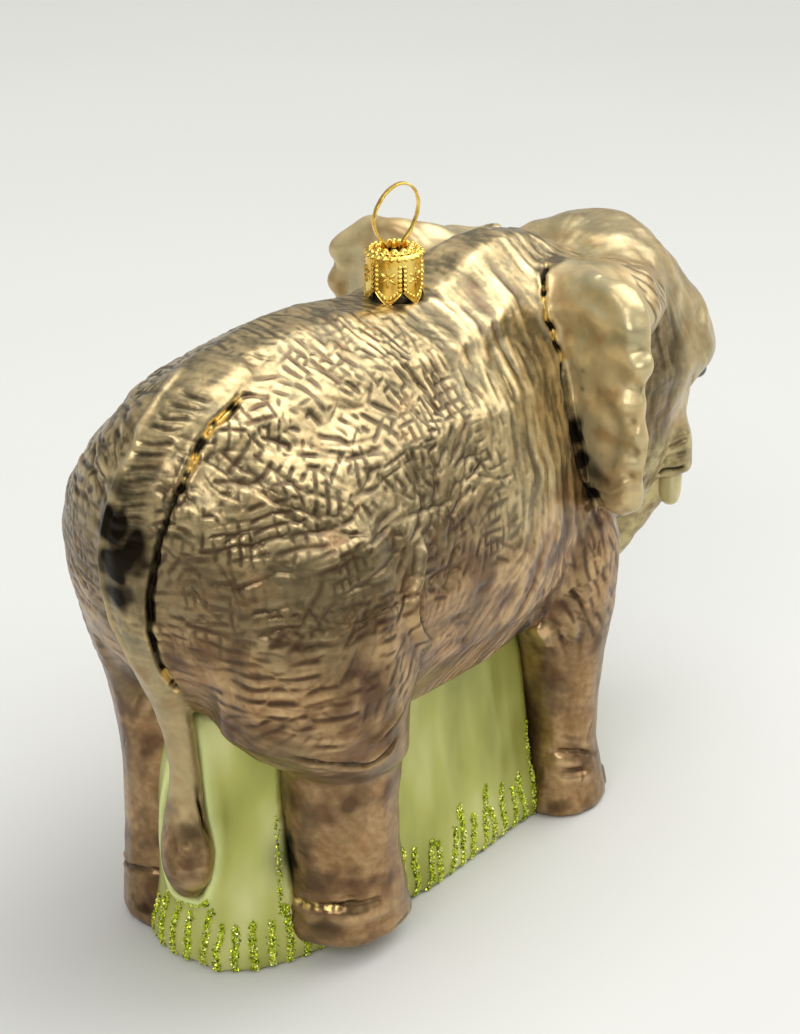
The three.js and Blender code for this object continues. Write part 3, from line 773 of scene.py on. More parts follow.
# On the left ear's free edge, each with its height, place across and size. They lie in three planes.
EAR_PIT_PLANE = -23.2
EAR_LOBE_PLANE = -22.8
EAR_HOLLOW_PLANE = -22.4
EAR_PITS = [(98.4, 35.2, 1.1), (91.2, 35.9, 1.6), (85.2, 34.6, 0.9), (79.4, 35.6, 1.4), (74.6, 34.6, 0.8)]
EAR_LOBES = [(101.4, 33.4, 1.3), (94.8, 34.6, 1.5), (88.2, 34.2, 1.2), (82.4, 34.8, 1.6), (76.8, 34, 1.2)]
EAR_HOLLOWS = [(92.6, 31.4, 1.1), (84.6, 31.8, 1.3), (78.6, 31.2, 1.0), (98.8, 30.6, 0.9)]
# Darkening on the ear, low on it and along its root: centre, reach and darkness.
EAR_DARKENING = [
    ((28.6, -24, 71.6), (7.0, 4, 4.0), 0.3), ((27, -24, 73.0), (4.6, 3, 2.2), 0.6),
    ((26, -25.5, 68.6), (1.8, 2.4, 1.7), 0.95), ((23.6, -22, 81), (1.1, 2.4, 6), 0.95),
    ((24.8, -21.5, 75.5), (1.8, 2.4, 3.0), 0.95),
]
EAR_FOLD = [(26, -22.5, 67), (30, -22.5, 66.6), (35, -22.5, 70.4)]
EAR_FOLD_LIFTS = (0.0, 1.8, 3.8)

# On the left side of the head: the brow and the lids, the cheek, the bands round the tusk's sheath, spots.
BROW = [((15.6, -72.4, 80.4), 4.2, 1.0), ((14.6, -76.0, 77.2), 1.6, 0.7), ((14.4, -76.4, 71.8), 1.4, 0.5)]
CHEEK_CREASE = [(17, -68, 77), (16.8, -69.4, 74), (16, -70.6, 71)]
SHEATH_BAND = [(9.6, -68.4, 0), (12, -66.9, -0.2), (14.8, -67.6, 0), (16, -70.2, 0.3)]
SHEATH_BANDS = [(55.7, 0.7), (58.6, 0.25), (61.2, 0.3)] # each band's height and darkness
TEMPLE_SPOTS = [(17, -52.4, 83.4), (17, -56.6, 88.6), (17, -49.4, 95.2)]

FOOT_HEIGHT = 6
NAIL_HEIGHT = 4.2
NAIL_RISE = 0.35
NAIL_REACH = (1.7, 1.7, 2.1)
NAIL_TURNS = (-0.8, 0.0, 0.8) # how far round the foot from its front


# ---------- the hide's relief ----------

HIDE_CELL = 5.0 # the points are worked on in cells of this size
HIDE_CELLS = 100
PATH_STEP = 0.8
WOBBLE = 0.7 # how far a groove strays from its path, at most half of it to each side
GAP_SIZE = 2.2 # the size of the gaps in a broken groove, and of a groove's wobbles
HATCH_TURNS = (0, 0, 0, 0.9) # how far the patches of a hatching are turned, three in four not at all
HATCH_NEAR = 14 # how many patches are looked at round a cell
HATCH_FAINT = 0.02 # cells where the hatching would be fainter than this are left out
HATCH_BEND = 1.3
# HATCH_CONTRAST is how much darker the grooves and paler the ridges are painted; the paler part is a painted
# highlight.
HATCH_CONTRAST = 3.2


def flow(points, normals, strokes, reach):
    """The direction of the strokes at each point, along the surface."""
    tensor = np.zeros((len(points), 3, 3))
    for first, last in strokes:
        first, last = np.array(first, float), np.array(last, float)
        near = np.exp(-((points - (first + last) / 2) ** 2).sum(1) / (2 * reach * reach)) + 1e-9
        along = unit(last - first)
        tensor += near[:, None, None] * np.outer(along, along)
    _, vectors = np.linalg.eigh(tensor)
    along = vectors[:, :, 2]
    along = along - normals * (along * normals).sum(1, keepdims=True)
    return unit(along)


def turned(along, normals, angle):
    """Directions along the skin, turned about its normals."""
    angle = angle[:, None]
    return along * np.cos(angle) + np.cross(normals, along) * np.sin(angle)


def sided(side, points):
    """Points as they are where side is 1, and moved to the elephant's other side where it is -1."""
    return [(side * x, y, z) for x, y, z in points]


def tapered(share, ends):
    """1 along a path, falling to 0 over a share of it at each end."""
    return ramp(0, ends, share) * ramp(1, 1 - ends, share)


class Hide:
    """The skin's points while its relief is built: height is how far each one rises along its normal."""

    def __init__(self, points, normals, parts, tree):
        self.points = points
        self.normals = normals
        self.parts = parts
        self.tree = tree
        self.height, self.relief, self.groove, self.ink, self.gold, self.nails = np.zeros((6, len(points)))
        cells = np.floor(points / HIDE_CELL).astype(int) + HIDE_CELLS // 2
        keys = (cells[:, 0] * HIDE_CELLS + cells[:, 1]) * HIDE_CELLS + cells[:, 2]
        order = np.argsort(keys, kind="stable")
        _, starts = np.unique(keys[order], return_index=True)
        self.cells = np.split(order, starts[1:])

    def near(self, path, reach):
        """For the points within reach of a path laid on the skin: which they are, how far, how far along and
        on which side of it, looking from outside along the path with the left side positive."""
        line = curve_through(path, PATH_STEP)
        line = np.array([self.tree.find_nearest(Vector(p))[0] for p in line])
        low, high = line.min(0) - reach, line.max(0) + reach
        chosen = np.flatnonzero(((self.points > low) & (self.points < high)).all(1))
        spots = self.points[chosen]
        best = np.full(len(chosen), 1e9)
        share = np.zeros(len(chosen))
        side = np.zeros(len(chosen))
        lengths = np.linalg.norm(np.diff(line, axis=0), axis=1)
        travelled = np.r_[0, np.cumsum(lengths)]
        for k, (start, stop) in enumerate(zip(line[:-1], line[1:])):
            leg = stop - start
            t = np.clip((spots - start) @ leg / max(leg @ leg, 1e-9), 0, 1)
            away = spots - start - t[:, None] * leg
            distance = np.linalg.norm(away, axis=1)
            closer = distance < best
            best = np.where(closer, distance, best)
            share = np.where(closer, (travelled[k] + t * lengths[k]) / travelled[-1], share)
            left = np.einsum("ij,ij->i", np.cross(self.normals[chosen], leg), away)
            side = np.where(closer, np.sign(left), side)
        inside = best < reach
        return chosen[inside], best[inside], share[inside], side[inside]

    def crease(self, path, width, depth, ink=0.0, lip=0.0, ends=0.12, broken=0.0, seed=0.0):
        """A groove along a path. A lip is a ridge on both sides of it, and a broken one has gaps."""
        chosen, away, share, side = self.near(path, 4 * width)
        away = np.abs(away * side + WOBBLE * (noise(self.points[chosen], GAP_SIZE, 3.3) - 0.5))
        taper = tapered(share, ends)
        if broken:
            taper = taper * (1 - broken * ramp(0.45, 0.6, noise(self.points[chosen], GAP_SIZE, seed)))
        self.height[chosen] -= depth * hill(away, 0, width) * taper
        self.height[chosen] += lip * hill(away, 2 * width, width) * taper
        self.ink[chosen] = np.maximum(self.ink[chosen], ink * np.exp(-((away / width) ** 4)) * taper)

    def ridge(self, path, width, height, ends, light):
        chosen, away, share, _ = self.near(path, 3 * width)
        rise = hill(away, 0, width) * tapered(share, ends)
        self.height[chosen] += height * rise
        # Painted highlight: light makes the ridge's colour paler.
        self.relief[chosen] += light * rise

    def specks(self, path, first, last, size):
        """Specks of bare gold in a groove, between two shares of its length."""
        chosen, away, share, _ = self.near(path, 1.6)
        inside = ramp(first - 0.02, first + 0.02, share) * ramp(last + 0.02, last - 0.02, share)
        patchy = ramp(0.5, 0.64, noise(self.points[chosen], size, 5.1))
        speck = inside * patchy * hill(away, 0.34, 0.3)
        self.gold[chosen] = np.maximum(self.gold[chosen], speck)
        self.height[chosen] += 0.3 * speck

    def nail(self, centre):
        """A toenail: a low swelling under grey paint."""
        shape = ramp(1.15, 0.8, oval(self.points, centre, NAIL_REACH))
        self.height += NAIL_RISE * shape
        self.nails = np.maximum(self.nails, shape)

    def swelling(self, centre, reach, height):
        self.height += height * hill(oval(self.points, centre, reach), 0, 1)

    def stain(self, centre, reach, ink):
        ragged = 0.5 + noise(self.points, 1.6, 3.7)
        away = oval(self.points, centre, reach)
        self.ink = np.maximum(self.ink, ink * np.exp(-((away * ragged) ** 3)))


def engrave(hide, count, seed, along, wide, long, deep, spread, mask):
    """Short bent strokes cut into the skin: `along` is their direction at every point, turned by up to
    `spread`, and `mask` is how likely one starts at each point."""
    random = np.random.default_rng(seed)
    starts = random.choice(len(hide.points), count, p=mask / mask.sum())
    centres, normals = hide.points[starts], hide.normals[starts]
    angle = np.round(4 * noise(centres, 9, seed * 1.7) - 2) / 2 * spread + random.normal(0, 0.12, count)
    direction = turned(along[starts], normals, angle)
    sideways = np.cross(normals, direction)
    half = random.uniform(*long, count) / 2
    width = random.uniform(*wide, count)
    depth = random.uniform(*deep, count)
    bend = random.normal(0, 0.03, count)
    for group in hide.cells:
        spots = hide.points[group]
        reach = (spots.max(0) - spots.min(0)) / 2 + max(long) / 2
        near = np.flatnonzero((np.abs(centres - (spots.max(0) + spots.min(0)) / 2) < reach).all(1))
        if len(near) == 0:
            continue
        offset = spots[:, None] - centres[near]
        run = (offset * direction[near]).sum(2)
        aside = (offset * sideways[near]).sum(2) - bend[near] * run * run
        rise = (offset * normals[near]).sum(2)
        shape = np.exp(-((aside / width[near]) ** 2)) * ramp(half[near], half[near] * 0.55, np.abs(run))
        shape = shape * (np.abs(rise) < 3)
        hide.height[group] -= (depth[near] * shape).sum(1)
        hide.groove[group] = np.maximum(hide.groove[group], (shape * depth[near]).max(1) / max(deep))


def hatch(hide, count, seed, along, spacing, deep, crossing, mask):
    """Patches of parallel grooves with rounded ridges between them, each patch turned its own way, like
    basketwork. `crossing` is how strongly a second set of grooves crosses the first."""
    random = np.random.default_rng(seed)
    starts = random.choice(len(hide.points), count, p=mask / mask.sum(), replace=False)
    centres, normals = hide.points[starts], hide.normals[starts]
    angle = random.choice(HATCH_TURNS, count) + random.normal(0, 0.1, count)
    direction = turned(along[starts], normals, angle)
    sideways = np.cross(normals, direction)
    gap = random.uniform(*spacing, count)
    shift = random.random(count)
    crossed = random.uniform(*crossing, count)
    bent = hide.points + HATCH_BEND * wander(hide.points, 4.5, (2.1, 6.7, 8.9))
    kept = ramp(0.3, 0.52, noise(hide.points, 2.4, seed))
    kept_across = ramp(0.35, 0.55, noise(hide.points, 2.4, seed + 0.7))
    for group in hide.cells:
        if mask[group].max() < HATCH_FAINT:
            continue
        spots = bent[group]
        near = np.argsort(((centres - spots.mean(0)) ** 2).sum(1))[:HATCH_NEAR]
        away = np.sqrt(((spots[:, None] - centres[near]) ** 2).sum(2))
        order = np.argsort(away, axis=1)[:, :2]
        rows = np.arange(len(group))
        patch = near[order[:, 0]]
        border = away[rows, order[:, 1]] - away[rows, order[:, 0]]
        inside = spots - centres[patch]
        across = (inside * sideways[patch]).sum(1) / gap[patch] + shift[patch]
        run = (inside * direction[patch]).sum(1) / (0.8 * gap[patch]) + shift[patch]
        groove = (0.5 + 0.5 * np.cos(2 * math.pi * across)) ** 2.2 * (0.2 + 0.8 * kept[group])
        second = crossed[patch] * (0.5 + 0.5 * np.cos(2 * math.pi * run)) ** 2.4 * kept_across[group]
        share = mask[group] * (0.3 + 0.7 * ramp(0, 0.9, border))
        cut = np.maximum(groove, second) * share
        hide.height[group] -= deep * (cut - 0.3 * share)
        # Darker paint in the grooves, and a paler painted highlight on the ridges between them.
        hide.relief[group] -= HATCH_CONTRAST * (cut - 0.3 * share)
        hide.groove[group] = np.maximum(hide.groove[group], cut)


def wrinkle(hide, masks):
    """Strokes, cells and lines all over the hide, deeper on the flank and rump than on the head and legs."""
    points, normals = hide.points, hide.normals
    strokes = RIGHT_STROKES + [tuple(sided(-1, stroke)) for stroke in RIGHT_STROKES]
    along = flow(points, normals, strokes, STROKE_REACH)
    bent = points + 1.6 * wander(points, 5, (1.3, 5.9, 9.1))
    sweeps = streaks(bent, along, 1.5, 12, 0.3, 11)
    hairs = streaks(points, along, 0.7, 4, 4.1)
    dents = evened(noise(points, 3.2, 8.3) + 0.7 * noise(points, 6.5, 3.3))
    hollows = evened(noise(points, 7.5, 5.2) + 0.4 * noise(points, 4, 1.1))
    hide.height += 0.11 * masks["sweep"] * sweeps + (0.015 + 0.04 * masks["hair"]) * masks["fine"] * hairs
    hide.height += 0.1 * masks["dent"] * dents + 0.26 * masks["hollow"] * hollows
    # The colour follows the sweeps, hairs and dents too: paler where they stand up, a painted highlight.
    hide.relief += 0.9 * masks["sweep"] * sweeps + (0.3 + 0.5 * masks["hair"]) * masks["fine"] * hairs
    hide.relief += 0.5 * masks["dent"] * dents
    weave, herring = masks["weave"], masks["herring"]
    hatch(hide, 240, 21, along, spacing=(1.9, 2.8), deep=0.2, crossing=(0.2, 1.0), mask=weave)
    hatch(hide, 200, 22, along, spacing=(2.0, 2.7), deep=0.13, crossing=(0.0, 0.25), mask=herring)
    engrave(hide, 320, 3, along, wide=(0.38, 0.6), long=(5, 12), deep=(0.1, 0.24), spread=1.2, mask=weave)
    engrave(hide, 400, 4, along, wide=(0.32, 0.5), long=(2.5, 6), deep=(0.06, 0.16), spread=0.9, mask=herring)


def ear_marks(hide, side):
    """Pits and lobes along the free edge of an ear, the darkening low on it and along its root, and folds
    under a painted highlight.
    """
    for z, across, size in EAR_PITS:
        pit = (side * across, EAR_PIT_PLANE, z)
        hide.swelling(pit, 1.1 + 0.7 * size, -0.9 * size)
        hide.stain(pit, (0.7 * size, 2, 0.8 * size), 0.36)
    for z, across, size in EAR_LOBES:
        hide.swelling((side * across, EAR_LOBE_PLANE, z), 1.3 + size, 0.65 * size)
    for z, across, size in EAR_HOLLOWS:
        hide.swelling((side * across, EAR_HOLLOW_PLANE, z), 1.3 + size, -0.5 * size)
    for (x, y, z), reach, ink in EAR_DARKENING:
        hide.stain((side * x, y, z), reach, ink)
    for lift in EAR_FOLD_LIFTS:
        fold = [(side * x, y, z + lift) for x, y, z in EAR_FOLD]
        # The folds carry a painted highlight.
        hide.ridge(fold, 0.7, 0.6, 0.15, light=3.0)


def head_marks(hide, side):
    """The brow over an eye, its lids, and the creases between the cheek and the tusk's sheath."""
    for (x, y, z), reach, height in BROW:
        hide.swelling((side * x, y, z), reach, height)
    hide.crease(sided(side, CHEEK_CREASE), 0.6, 0.5, ink=0.3)
    for height, ink in SHEATH_BANDS:
        hide.crease([(side * x, y, height + z) for x, y, z in SHEATH_BAND], 0.42, 0.4, ink=ink, lip=0.15)
    for spot in sided(side, TEMPLE_SPOTS):
        hide.stain(spot, (2, 1.3, 1.0), 0.45)


def toenails(hide, name):
    foot = hide.points[(hide.parts[name] > 0.6) & (hide.points[:, 2] < FOOT_HEIGHT)]
    low, high = foot.min(0), foot.max(0)
    middle, half = (low + high) / 2, (high - low) / 2
    for turn in NAIL_TURNS:
        hide.nail((middle[0] + half[0] * math.sin(turn), middle[1] - half[1] * math.cos(turn), NAIL_HEIGHT))


def marks(hide):
    """The folds, stains, specks and toenails that have a place of their own."""
    for path, width, depth, settings in CREASES:
        hide.crease(path, width, depth, **settings)
    for path, width, height, ends, light in RIDGES:
        hide.ridge(path, width, height, ends, light)
    for side in (1, -1):
        hide.crease(sided(side, EAR_GROOVE), 0.42, 0.9, ink=1.0, lip=0.15, ends=0.05)
        hide.specks(sided(side, EAR_GROOVE), 0.0, 0.5, 1.5)
        ear_marks(hide, side)
        head_marks(hide, side)
    for path, first, last, size in GOLD_SPECKS:
        hide.specks(path, first, last, size)
    for x, y, z in curve_through(TAIL_MIDDLE, 1.0)[1::2]:
        slot = [(x + 1.9, y, z - 1.0), (x - 1.4, y, z), (x - 5.2, y - 1.4, z + 1.1)]
        hide.crease(slot, 0.55, 0.5, ink=0.55, ends=0.3)
    for x, y, z in BELLY_FOLDS:
        hide.crease([(x, y + 3, z + 0.7), (x, y, z), (x, y - 3, z - 0.3)], 0.8, 0.3, ink=0.3, ends=0.4)
    for centre, reach, ink in STAINS:
        hide.stain(centre, reach, ink)
    for centre, reach, height in SWELLINGS:
        hide.swelling(centre, reach, height)
    for name in LEGS:
        toenails(hide, name)


# ---------- the hide ----------

TUSK_PLACE = (12.7, -70.2) # the left tusk's middle, across and along Y
SHEATH_RADIUS = 3.3
SHEATH_HEIGHT = 58.6
SHEATH_HALF = 3.2
TEMPLE_FILL = ((16, -42, 96.6), (8.5, 13, 6.6)) # centre and radii of what bridges the left ear and the head
EAR_FILLET = 8.0 # how far the top of an ear runs into the neck and the head
EAR_EDGE_OUT = 37.4 # the ear's free edge, across
EAR_EDGE_BACK = -24.2 # and its front side there, along Y
EAR_EDGE_TOP = 109.0
PROUD = 0.25 # the smooth skin stands this far out of the facets of the solids
FLESH_FILLET = 2.4 # how far nodes run into each other
THIN_FILLET = 1.2 # the same for the tail and the ears
TEMPLE_FILLET = 7
SHEATH_FILLET = 2
SMOOTH_PASSES = 220
SETTLE_PASSES = 18


def part_masks(grid, fields, points):
    """How much each point belongs to each node, from 0 to 1."""
    distances = {name: grid.at(field, points) for name, field in fields.items()}
    masks = {}
    for name in distances:
        others = np.min([distances[other] for other in distances if other != name], axis=0)
        masks[name] = np.clip(0.5 + (others - distances[name]) / 1.6, 0, 1)
    return masks


def egg(places, centre, radii):
    """Nearly the distance to an egg shape."""
    spread = sum(((place - middle) / radius) ** 2 for place, middle, radius in zip(places, centre, radii))
    return (np.sqrt(spread) - 1) * min(radii)


def sheath(places, side):
    """The distance to the short sleeve of hide that a tusk comes out of."""
    x, y, z = places
    out = np.sqrt((x - side * TUSK_PLACE[0]) ** 2 + (y - TUSK_PLACE[1]) ** 2)
    return np.maximum(out - SHEATH_RADIUS, np.abs(z - SHEATH_HEIGHT) - SHEATH_HALF)


def whole_field(fields, places):
    """The distance to the whole elephant, with the corners between its nodes filled, the hollow between each
    ear and the head bridged, and a sleeve round each tusk."""
    whole = fields[FLESH[0]]
    for name in FLESH[1:]:
        reach = FLESH_FILLET
        if name == "tail":
            reach = THIN_FILLET
        if name in EARS:
            reach = THIN_FILLET + EAR_FILLET * ramp(93, 103, places[2])
        whole = fused(whole, fields[name], reach)
    (across, along, up), radii = TEMPLE_FILL
    for side in (-1, 1):
        whole = fused(whole, egg(places, (side * across, along, up), radii), TEMPLE_FILLET)
        whole = fused(whole, sheath(places, side), SHEATH_FILLET)
    return whole


def thinned(ear, places):
    """The distance to an ear whose free edge is cut thin from in front."""
    x, y, z = places
    inwards = np.minimum(EAR_EDGE_OUT - np.abs(x), 1.4 * (EAR_EDGE_TOP - z) + np.clip(24 - np.abs(x), 0, 9))
    front = EAR_EDGE_BACK - 0.8 * inwards
    return np.maximum(ear, 0.78 * (front - y))


def skin(grid, fields):
    """The elephant's closed skin, smoothed, before its relief is raised."""
    places = grid.places()
    fields = dict(fields)
    for name in EARS:
        fields[name] = thinned(fields[name], places)
    whole = whole_field(fields, places)
    points, faces = grid.surface(blurred(whole))
    masks = part_masks(grid, fields, points)
    thin = masks["ear_right"] + masks["ear_left"] + masks["tail"]
    limbs = sum(masks[name] for name in LEGS) + masks["head"] + masks["trunk"]
    strength = np.clip(1 - 0.7 * thin - 0.35 * limbs, 0.15, 1)
    web = Web(faces)
    points = web.relaxed(points, strength, SMOOTH_PASSES)
    for _ in range(2):
        sunk = web.spread(PROUD - grid.at(whole, points), SETTLE_PASSES)
        points = points + normals_of(points, faces) * sunk[:, None]
    item = make_object("glass_hide", points, faces, hide_finish())
    return applied(item, "SUBSURF", levels=1, render_levels=1)


def regions(points, parts):
    """How much each point belongs to each stretch of skin that is worked in its own way, from 0 to 1."""
    _, y, z = points.T
    legs = sum(parts[name] for name in LEGS)
    ears = parts["ear_right"] + parts["ear_left"]
    face = parts["head"] + parts["trunk"]
    barrel = np.clip(1 - ears - face - parts["tail"] - legs * ramp(74, 66, z), 0, 1)
    spine = ramp(106.5, 109.5, z)
    return {
        "legs": legs,
        "ears": ears,
        "face": face,
        "tail": parts["tail"],
        "flank": barrel * ramp(-2, 14, y) * ramp(60, 74, z) * (1 - 0.5 * spine),
        "shoulder": barrel * ramp(12, -4, y) * (1 - 0.7 * spine),
        "belly": barrel * ramp(72, 60, z),
        "thigh": legs * ramp(20, 30, y) * ramp(51, 60, z) * ramp(80, 70, z),
        "thigh_rim": legs * ramp(20, 30, y) * ramp(43, 48, z) * ramp(62, 54, z),
        "upper_arm": legs * ramp(-8, -14, y) * ramp(34, 42, z),
        "lower_legs": legs * ramp(46, 38, z),
        "temple": parts["head"] * ramp(-66, -60, y) * ramp(98, 88, z),
        "cheek": parts["head"] * ramp(68, 60, z),
    }


def relief_masks(at):
    """How strongly each kind of relief is worked at each point, from its regions."""
    temple, shoulder, belly = at["temple"], at["shoulder"], at["belly"]
    herring = at["thigh"] + 0.7 * at["upper_arm"] + 0.12 * at["legs"] + 0.1 * shoulder + 0.4 * belly
    return {
        "weave": np.clip(at["flank"], 1e-6, 1),
        "herring": np.clip(herring, 1e-6, 1),
        "sweep": np.clip(0.07 + 0.95 * shoulder - at["ears"] + 0.15 * belly + 0.5 * temple, 0, 1),
        "fine": np.clip(1 - 0.85 * at["ears"] - 0.6 * at["lower_legs"], 0, 1),
        "hollow": np.clip(at["face"] * (1 - temple), 0, 1) + 1.5 * at["ears"],
        "hair": np.clip(temple + 0.6 * at["thigh_rim"], 0, 1),
        "dent": np.clip(0.45 + 0.5 * at["face"] + 0.5 * at["ears"], 0, 1),
    }


def paint(item, hide, at):
    """Puts on the skin how strongly its material shows each colour."""
    points, z = hide.points, hide.points[:, 2]
    ears, face, tail, temple = at["ears"], at["face"], at["tail"], at["temple"]
    shift = 16 * (noise(points, 13, 1.7) - 0.5) + 8 * (noise(points, 5, 6.2) - 0.5)
    brown = ramp(84, 64, z + shift) - ears - 0.6 * face - tail * ramp(30, 34, z)
    # Painted shade: a darker band low on the rump above the thigh, the temples, under the thighs and low on
    # the tail. Dark paint blotches on the legs are added to it.
    dusk = hill(z + 0.5 * shift, 79, 11) * ramp(0, 26, points[:, 1]) * (1 - ears)
    dusk = dusk + 0.95 * temple + 0.4 * at["thigh_rim"] + 0.3 * tail * ramp(72, 60, z)
    dusk = dusk + 0.45 * at["legs"] * ramp(0.5, 0.66, noise(points * (1, 1, 0.5), 5, 9.9))
    mottle = np.clip(hide.parts["trunk"] + at["cheek"], 0, 1) * ramp(86, 58, z)
    smooth = ears + 0.7 * tail * ramp(72, 60, z) * ramp(26, 33, z) + 0.6 * (face - temple)
    set_attributes(
        item,
        # relief carries the darker paint in grooves and the painted highlight on ridges.
        relief=np.clip(0.5 + 0.16 * hide.relief, 0, 1),
        groove=np.clip(hide.groove, 0, 1),
        brown=np.clip(brown, 0, 1),
        dusk=np.clip(dusk, 0, 1),
        ink=np.clip(hide.ink, 0, 1),
        gold=hide.gold,
        nail=hide.nails,
        mottle=mottle,
        smooth=np.clip(smooth, 0, 1),
    )


def raise_relief(item, grid, fields):
    points = points_of(item)
    hide = Hide(points, point_normals(item), part_masks(grid, fields, points), tree_of(item, points))
    at = regions(points, hide.parts)
    wrinkle(hide, relief_masks(at))
    marks(hide)
    move_points(item, points + hide.normals * hide.height[:, None])
    paint(item, hide, at)
    finish_piece(item, "hide_glass", *FLESH)


# ---------- the grass ----------

GRASS_BULGES = [((1, 44, 42), (7, 7, 13)), ((5, 47.5, 26), (5.4, 7.6, 22))] # either side of the tail
GRASS_LIP = [(2.6, 47, 44), (0.9, 47.6, 37.6), (-0.4, 49, 33), (-1.2, 50.4, 28)] # along the right of the tail
GRASS_BULGE_FILLET = 4
GRASS_PASSES = 40
GRASS_STAIN = ((-13.4, 45.5, 21), (2.2, 3, 4.4)) # where the hind leg's black paint has run on the wall


def grass(grid, fields, flesh):
    """The wall of grass, swollen beside the tail and sunk where flesh meets it. Gives a tree of its faces."""
    grown = fields["grass_base"] - 0.45 * np.clip(1 - flesh / 3, 0, 1)
    for centre, radii in GRASS_BULGES:
        grown = fused(grown, egg(grid.places(), centre, radii), GRASS_BULGE_FILLET)
    points, faces = grid.surface(blurred(grown))
    points = Web(faces).relaxed(points, np.ones(len(points)), GRASS_PASSES)
    item = make_object("glass_grass", points, faces, grass_finish())
    points, normals = points_of(item), point_normals(item)
    waves = streaks(points, np.tile([0.0, 0.0, 1.0], (len(points), 1)), 5, 20, 6.6)
    lip = curve_through(GRASS_LIP, 0.8)
    away = np.min([np.linalg.norm(points - spot, axis=1) for spot in lip], axis=0)
    # The rim is raised, and painted paler as a highlight.
    rim = np.maximum(hill(grid.at(fields["tail"], points), 1.5, 0.9), hill(away, 0, 1.3))
    moved = points + normals * (0.16 * waves + 0.9 * rim)[:, None]
    move_points(item, moved)
    # shade is painted shade where the flesh meets the wall, plus the hind leg's run black paint.
    shade = 0.5 * ramp(1.2, 0.4, grid.at(flesh, points)) + 0.95 * hill(oval(points, *GRASS_STAIN), 0, 1)
    set_attributes(item, rim=rim, ink=np.clip(shade, 0, 1))
    finish_piece(item, "grass_glass", "grass_base")
    return tree_of(item, moved)


CHIP_SIZE = 0.3
CHIPS_PER_MM = 38
CHIP_WAYS = np.array([(1, 0, 0), (0, 1, 0), (-1, 0, 0), (0, -1, 0), (0, 0, 0.45), (0, 0, -0.45)])
CHIP_FACES = np.array([
    (0, 1, 4), (1, 2, 4), (2, 3, 4), (3, 0, 4), (1, 0, 5), (2, 1, 5), (3, 2, 5), (0, 3, 5),
])
SCATTER = 0.3 # how far chips stray from a blade
BLADE_SPACING = 3.3
BLADE_HEIGHTS = (8, 13)
BLADE_FOOT = 0.4
FOOT_RAYS = 360 # rays that look for the foot of the wall all round
FOOT_REACH = 90 # how far out they start
FOOT_LEVEL = 1.2
WALL_END = 40 # beyond this along Y the wall's foot runs across, so blades lean across
FALLEN = [ # where single chips lie away from the blades
    [(-5.5, 57, 12.2), (-3, 58, 10.6), (0.6, 57, 11.4)],
    [(-18.9, -18.4, 2), (-18.9, -18.8, 10), (-18.7, -18.8, 21)],
    [(-14.5, 47, 10), (-13.8, 46.5, 18), (-13.4, 46, 28)],
]


def foot_of(tree, middle, height):
    """Points round the foot of the wall at equal steps."""
    ring = []
    for turn in np.linspace(0, 2 * math.pi, FOOT_RAYS, endpoint=False):
        out = Vector((math.cos(turn), math.sin(turn), 0))
        hit = tree.ray_cast(Vector((0, middle, height)) + FOOT_REACH * out, -out)[0]
        if hit is not None:
            ring.append(np.array(hit))
    ring = np.array(ring)
    travelled = np.r_[0, np.cumsum(np.linalg.norm(np.diff(ring, axis=0), axis=1))]
    steps = np.arange(0, travelled[-1], BLADE_SPACING)
    return np.stack([np.interp(steps, travelled, ring[:, k]) for k in range(3)], 1)


def sprinkled(tree, path, per_mm, random):
    """Loose chips laid along a path on the wall: each has its place and its shade."""
    chips = []
    for spot in curve_through(path, 1 / per_mm):
        hit, normal, _, _ = tree.find_nearest(Vector(spot + random.normal(0, SCATTER, 3)))
        chips.append((np.array(hit) + np.array(normal) * random.uniform(0.0, 0.22), random.random()))
    return chips


def blades(tree, grid, flesh):
    """The chips of the glitter blades round the foot of the wall, and of the glitter fallen beside them."""
    random = np.random.default_rng(5)
    chips = []
    low, high = node_box("grass_base")
    for x, y, _ in foot_of(tree, (low[1] + high[1]) / 2, FOOT_LEVEL):
        tall = random.uniform(*BLADE_HEIGHTS)
        phase = random.uniform(0, 6.28)
        lean = random.normal(-0.3, 0.8)
        path = [(x, y, BLADE_FOOT)]
        for t in (0.25, 0.5, 0.75, 1.0):
            aside = lean * t + 0.3 * math.sin(6 * t + phase)
            at_end = abs(y) > WALL_END
            path.append((x + aside * at_end, y + aside * (not at_end), BLADE_FOOT + tall * t))
        chips += sprinkled(tree, path, CHIPS_PER_MM, random)
    for path in FALLEN:
        chips += sprinkled(tree, path, CHIPS_PER_MM / 6, random)
    bare = grid.at(flesh, np.array([spot for spot, _ in chips])) > 0.2
    return [chip for chip, seen in zip(chips, bare) if seen]


def glitter(chips):
    """Makes each chip a flat eight-sided crystal, turned at random."""
    random = np.random.default_rng(9)
    count, corners = len(chips), len(CHIP_WAYS)
    centres = np.array([place for place, _ in chips])
    quaternions = unit(random.normal(size=(count, 1, 4)))
    real, axes = quaternions[..., :1], quaternions[..., 1:]
    across = np.cross(axes, CHIP_WAYS)
    turned_ways = CHIP_WAYS + 2 * (real * across + np.cross(axes, across))
    sizes = CHIP_SIZE * random.uniform(0.6, 1.15, count)
    points = (turned_ways * sizes[:, None, None] + centres[:, None, :]).reshape(-1, 3)
    points[:, 2] = np.maximum(points[:, 2], 0.02)
    faces = (CHIP_FACES[None] + corners * np.arange(count)[:, None, None]).reshape(-1, 3)
    item = make_object("glitter_blades", points, faces, glitter_finish(), smooth=False)
    set_attributes(item, chip=np.repeat([shade for _, shade in chips], corners))
    finish_piece(item, "grass_glass")


# ---------- tusks, eyes ----------

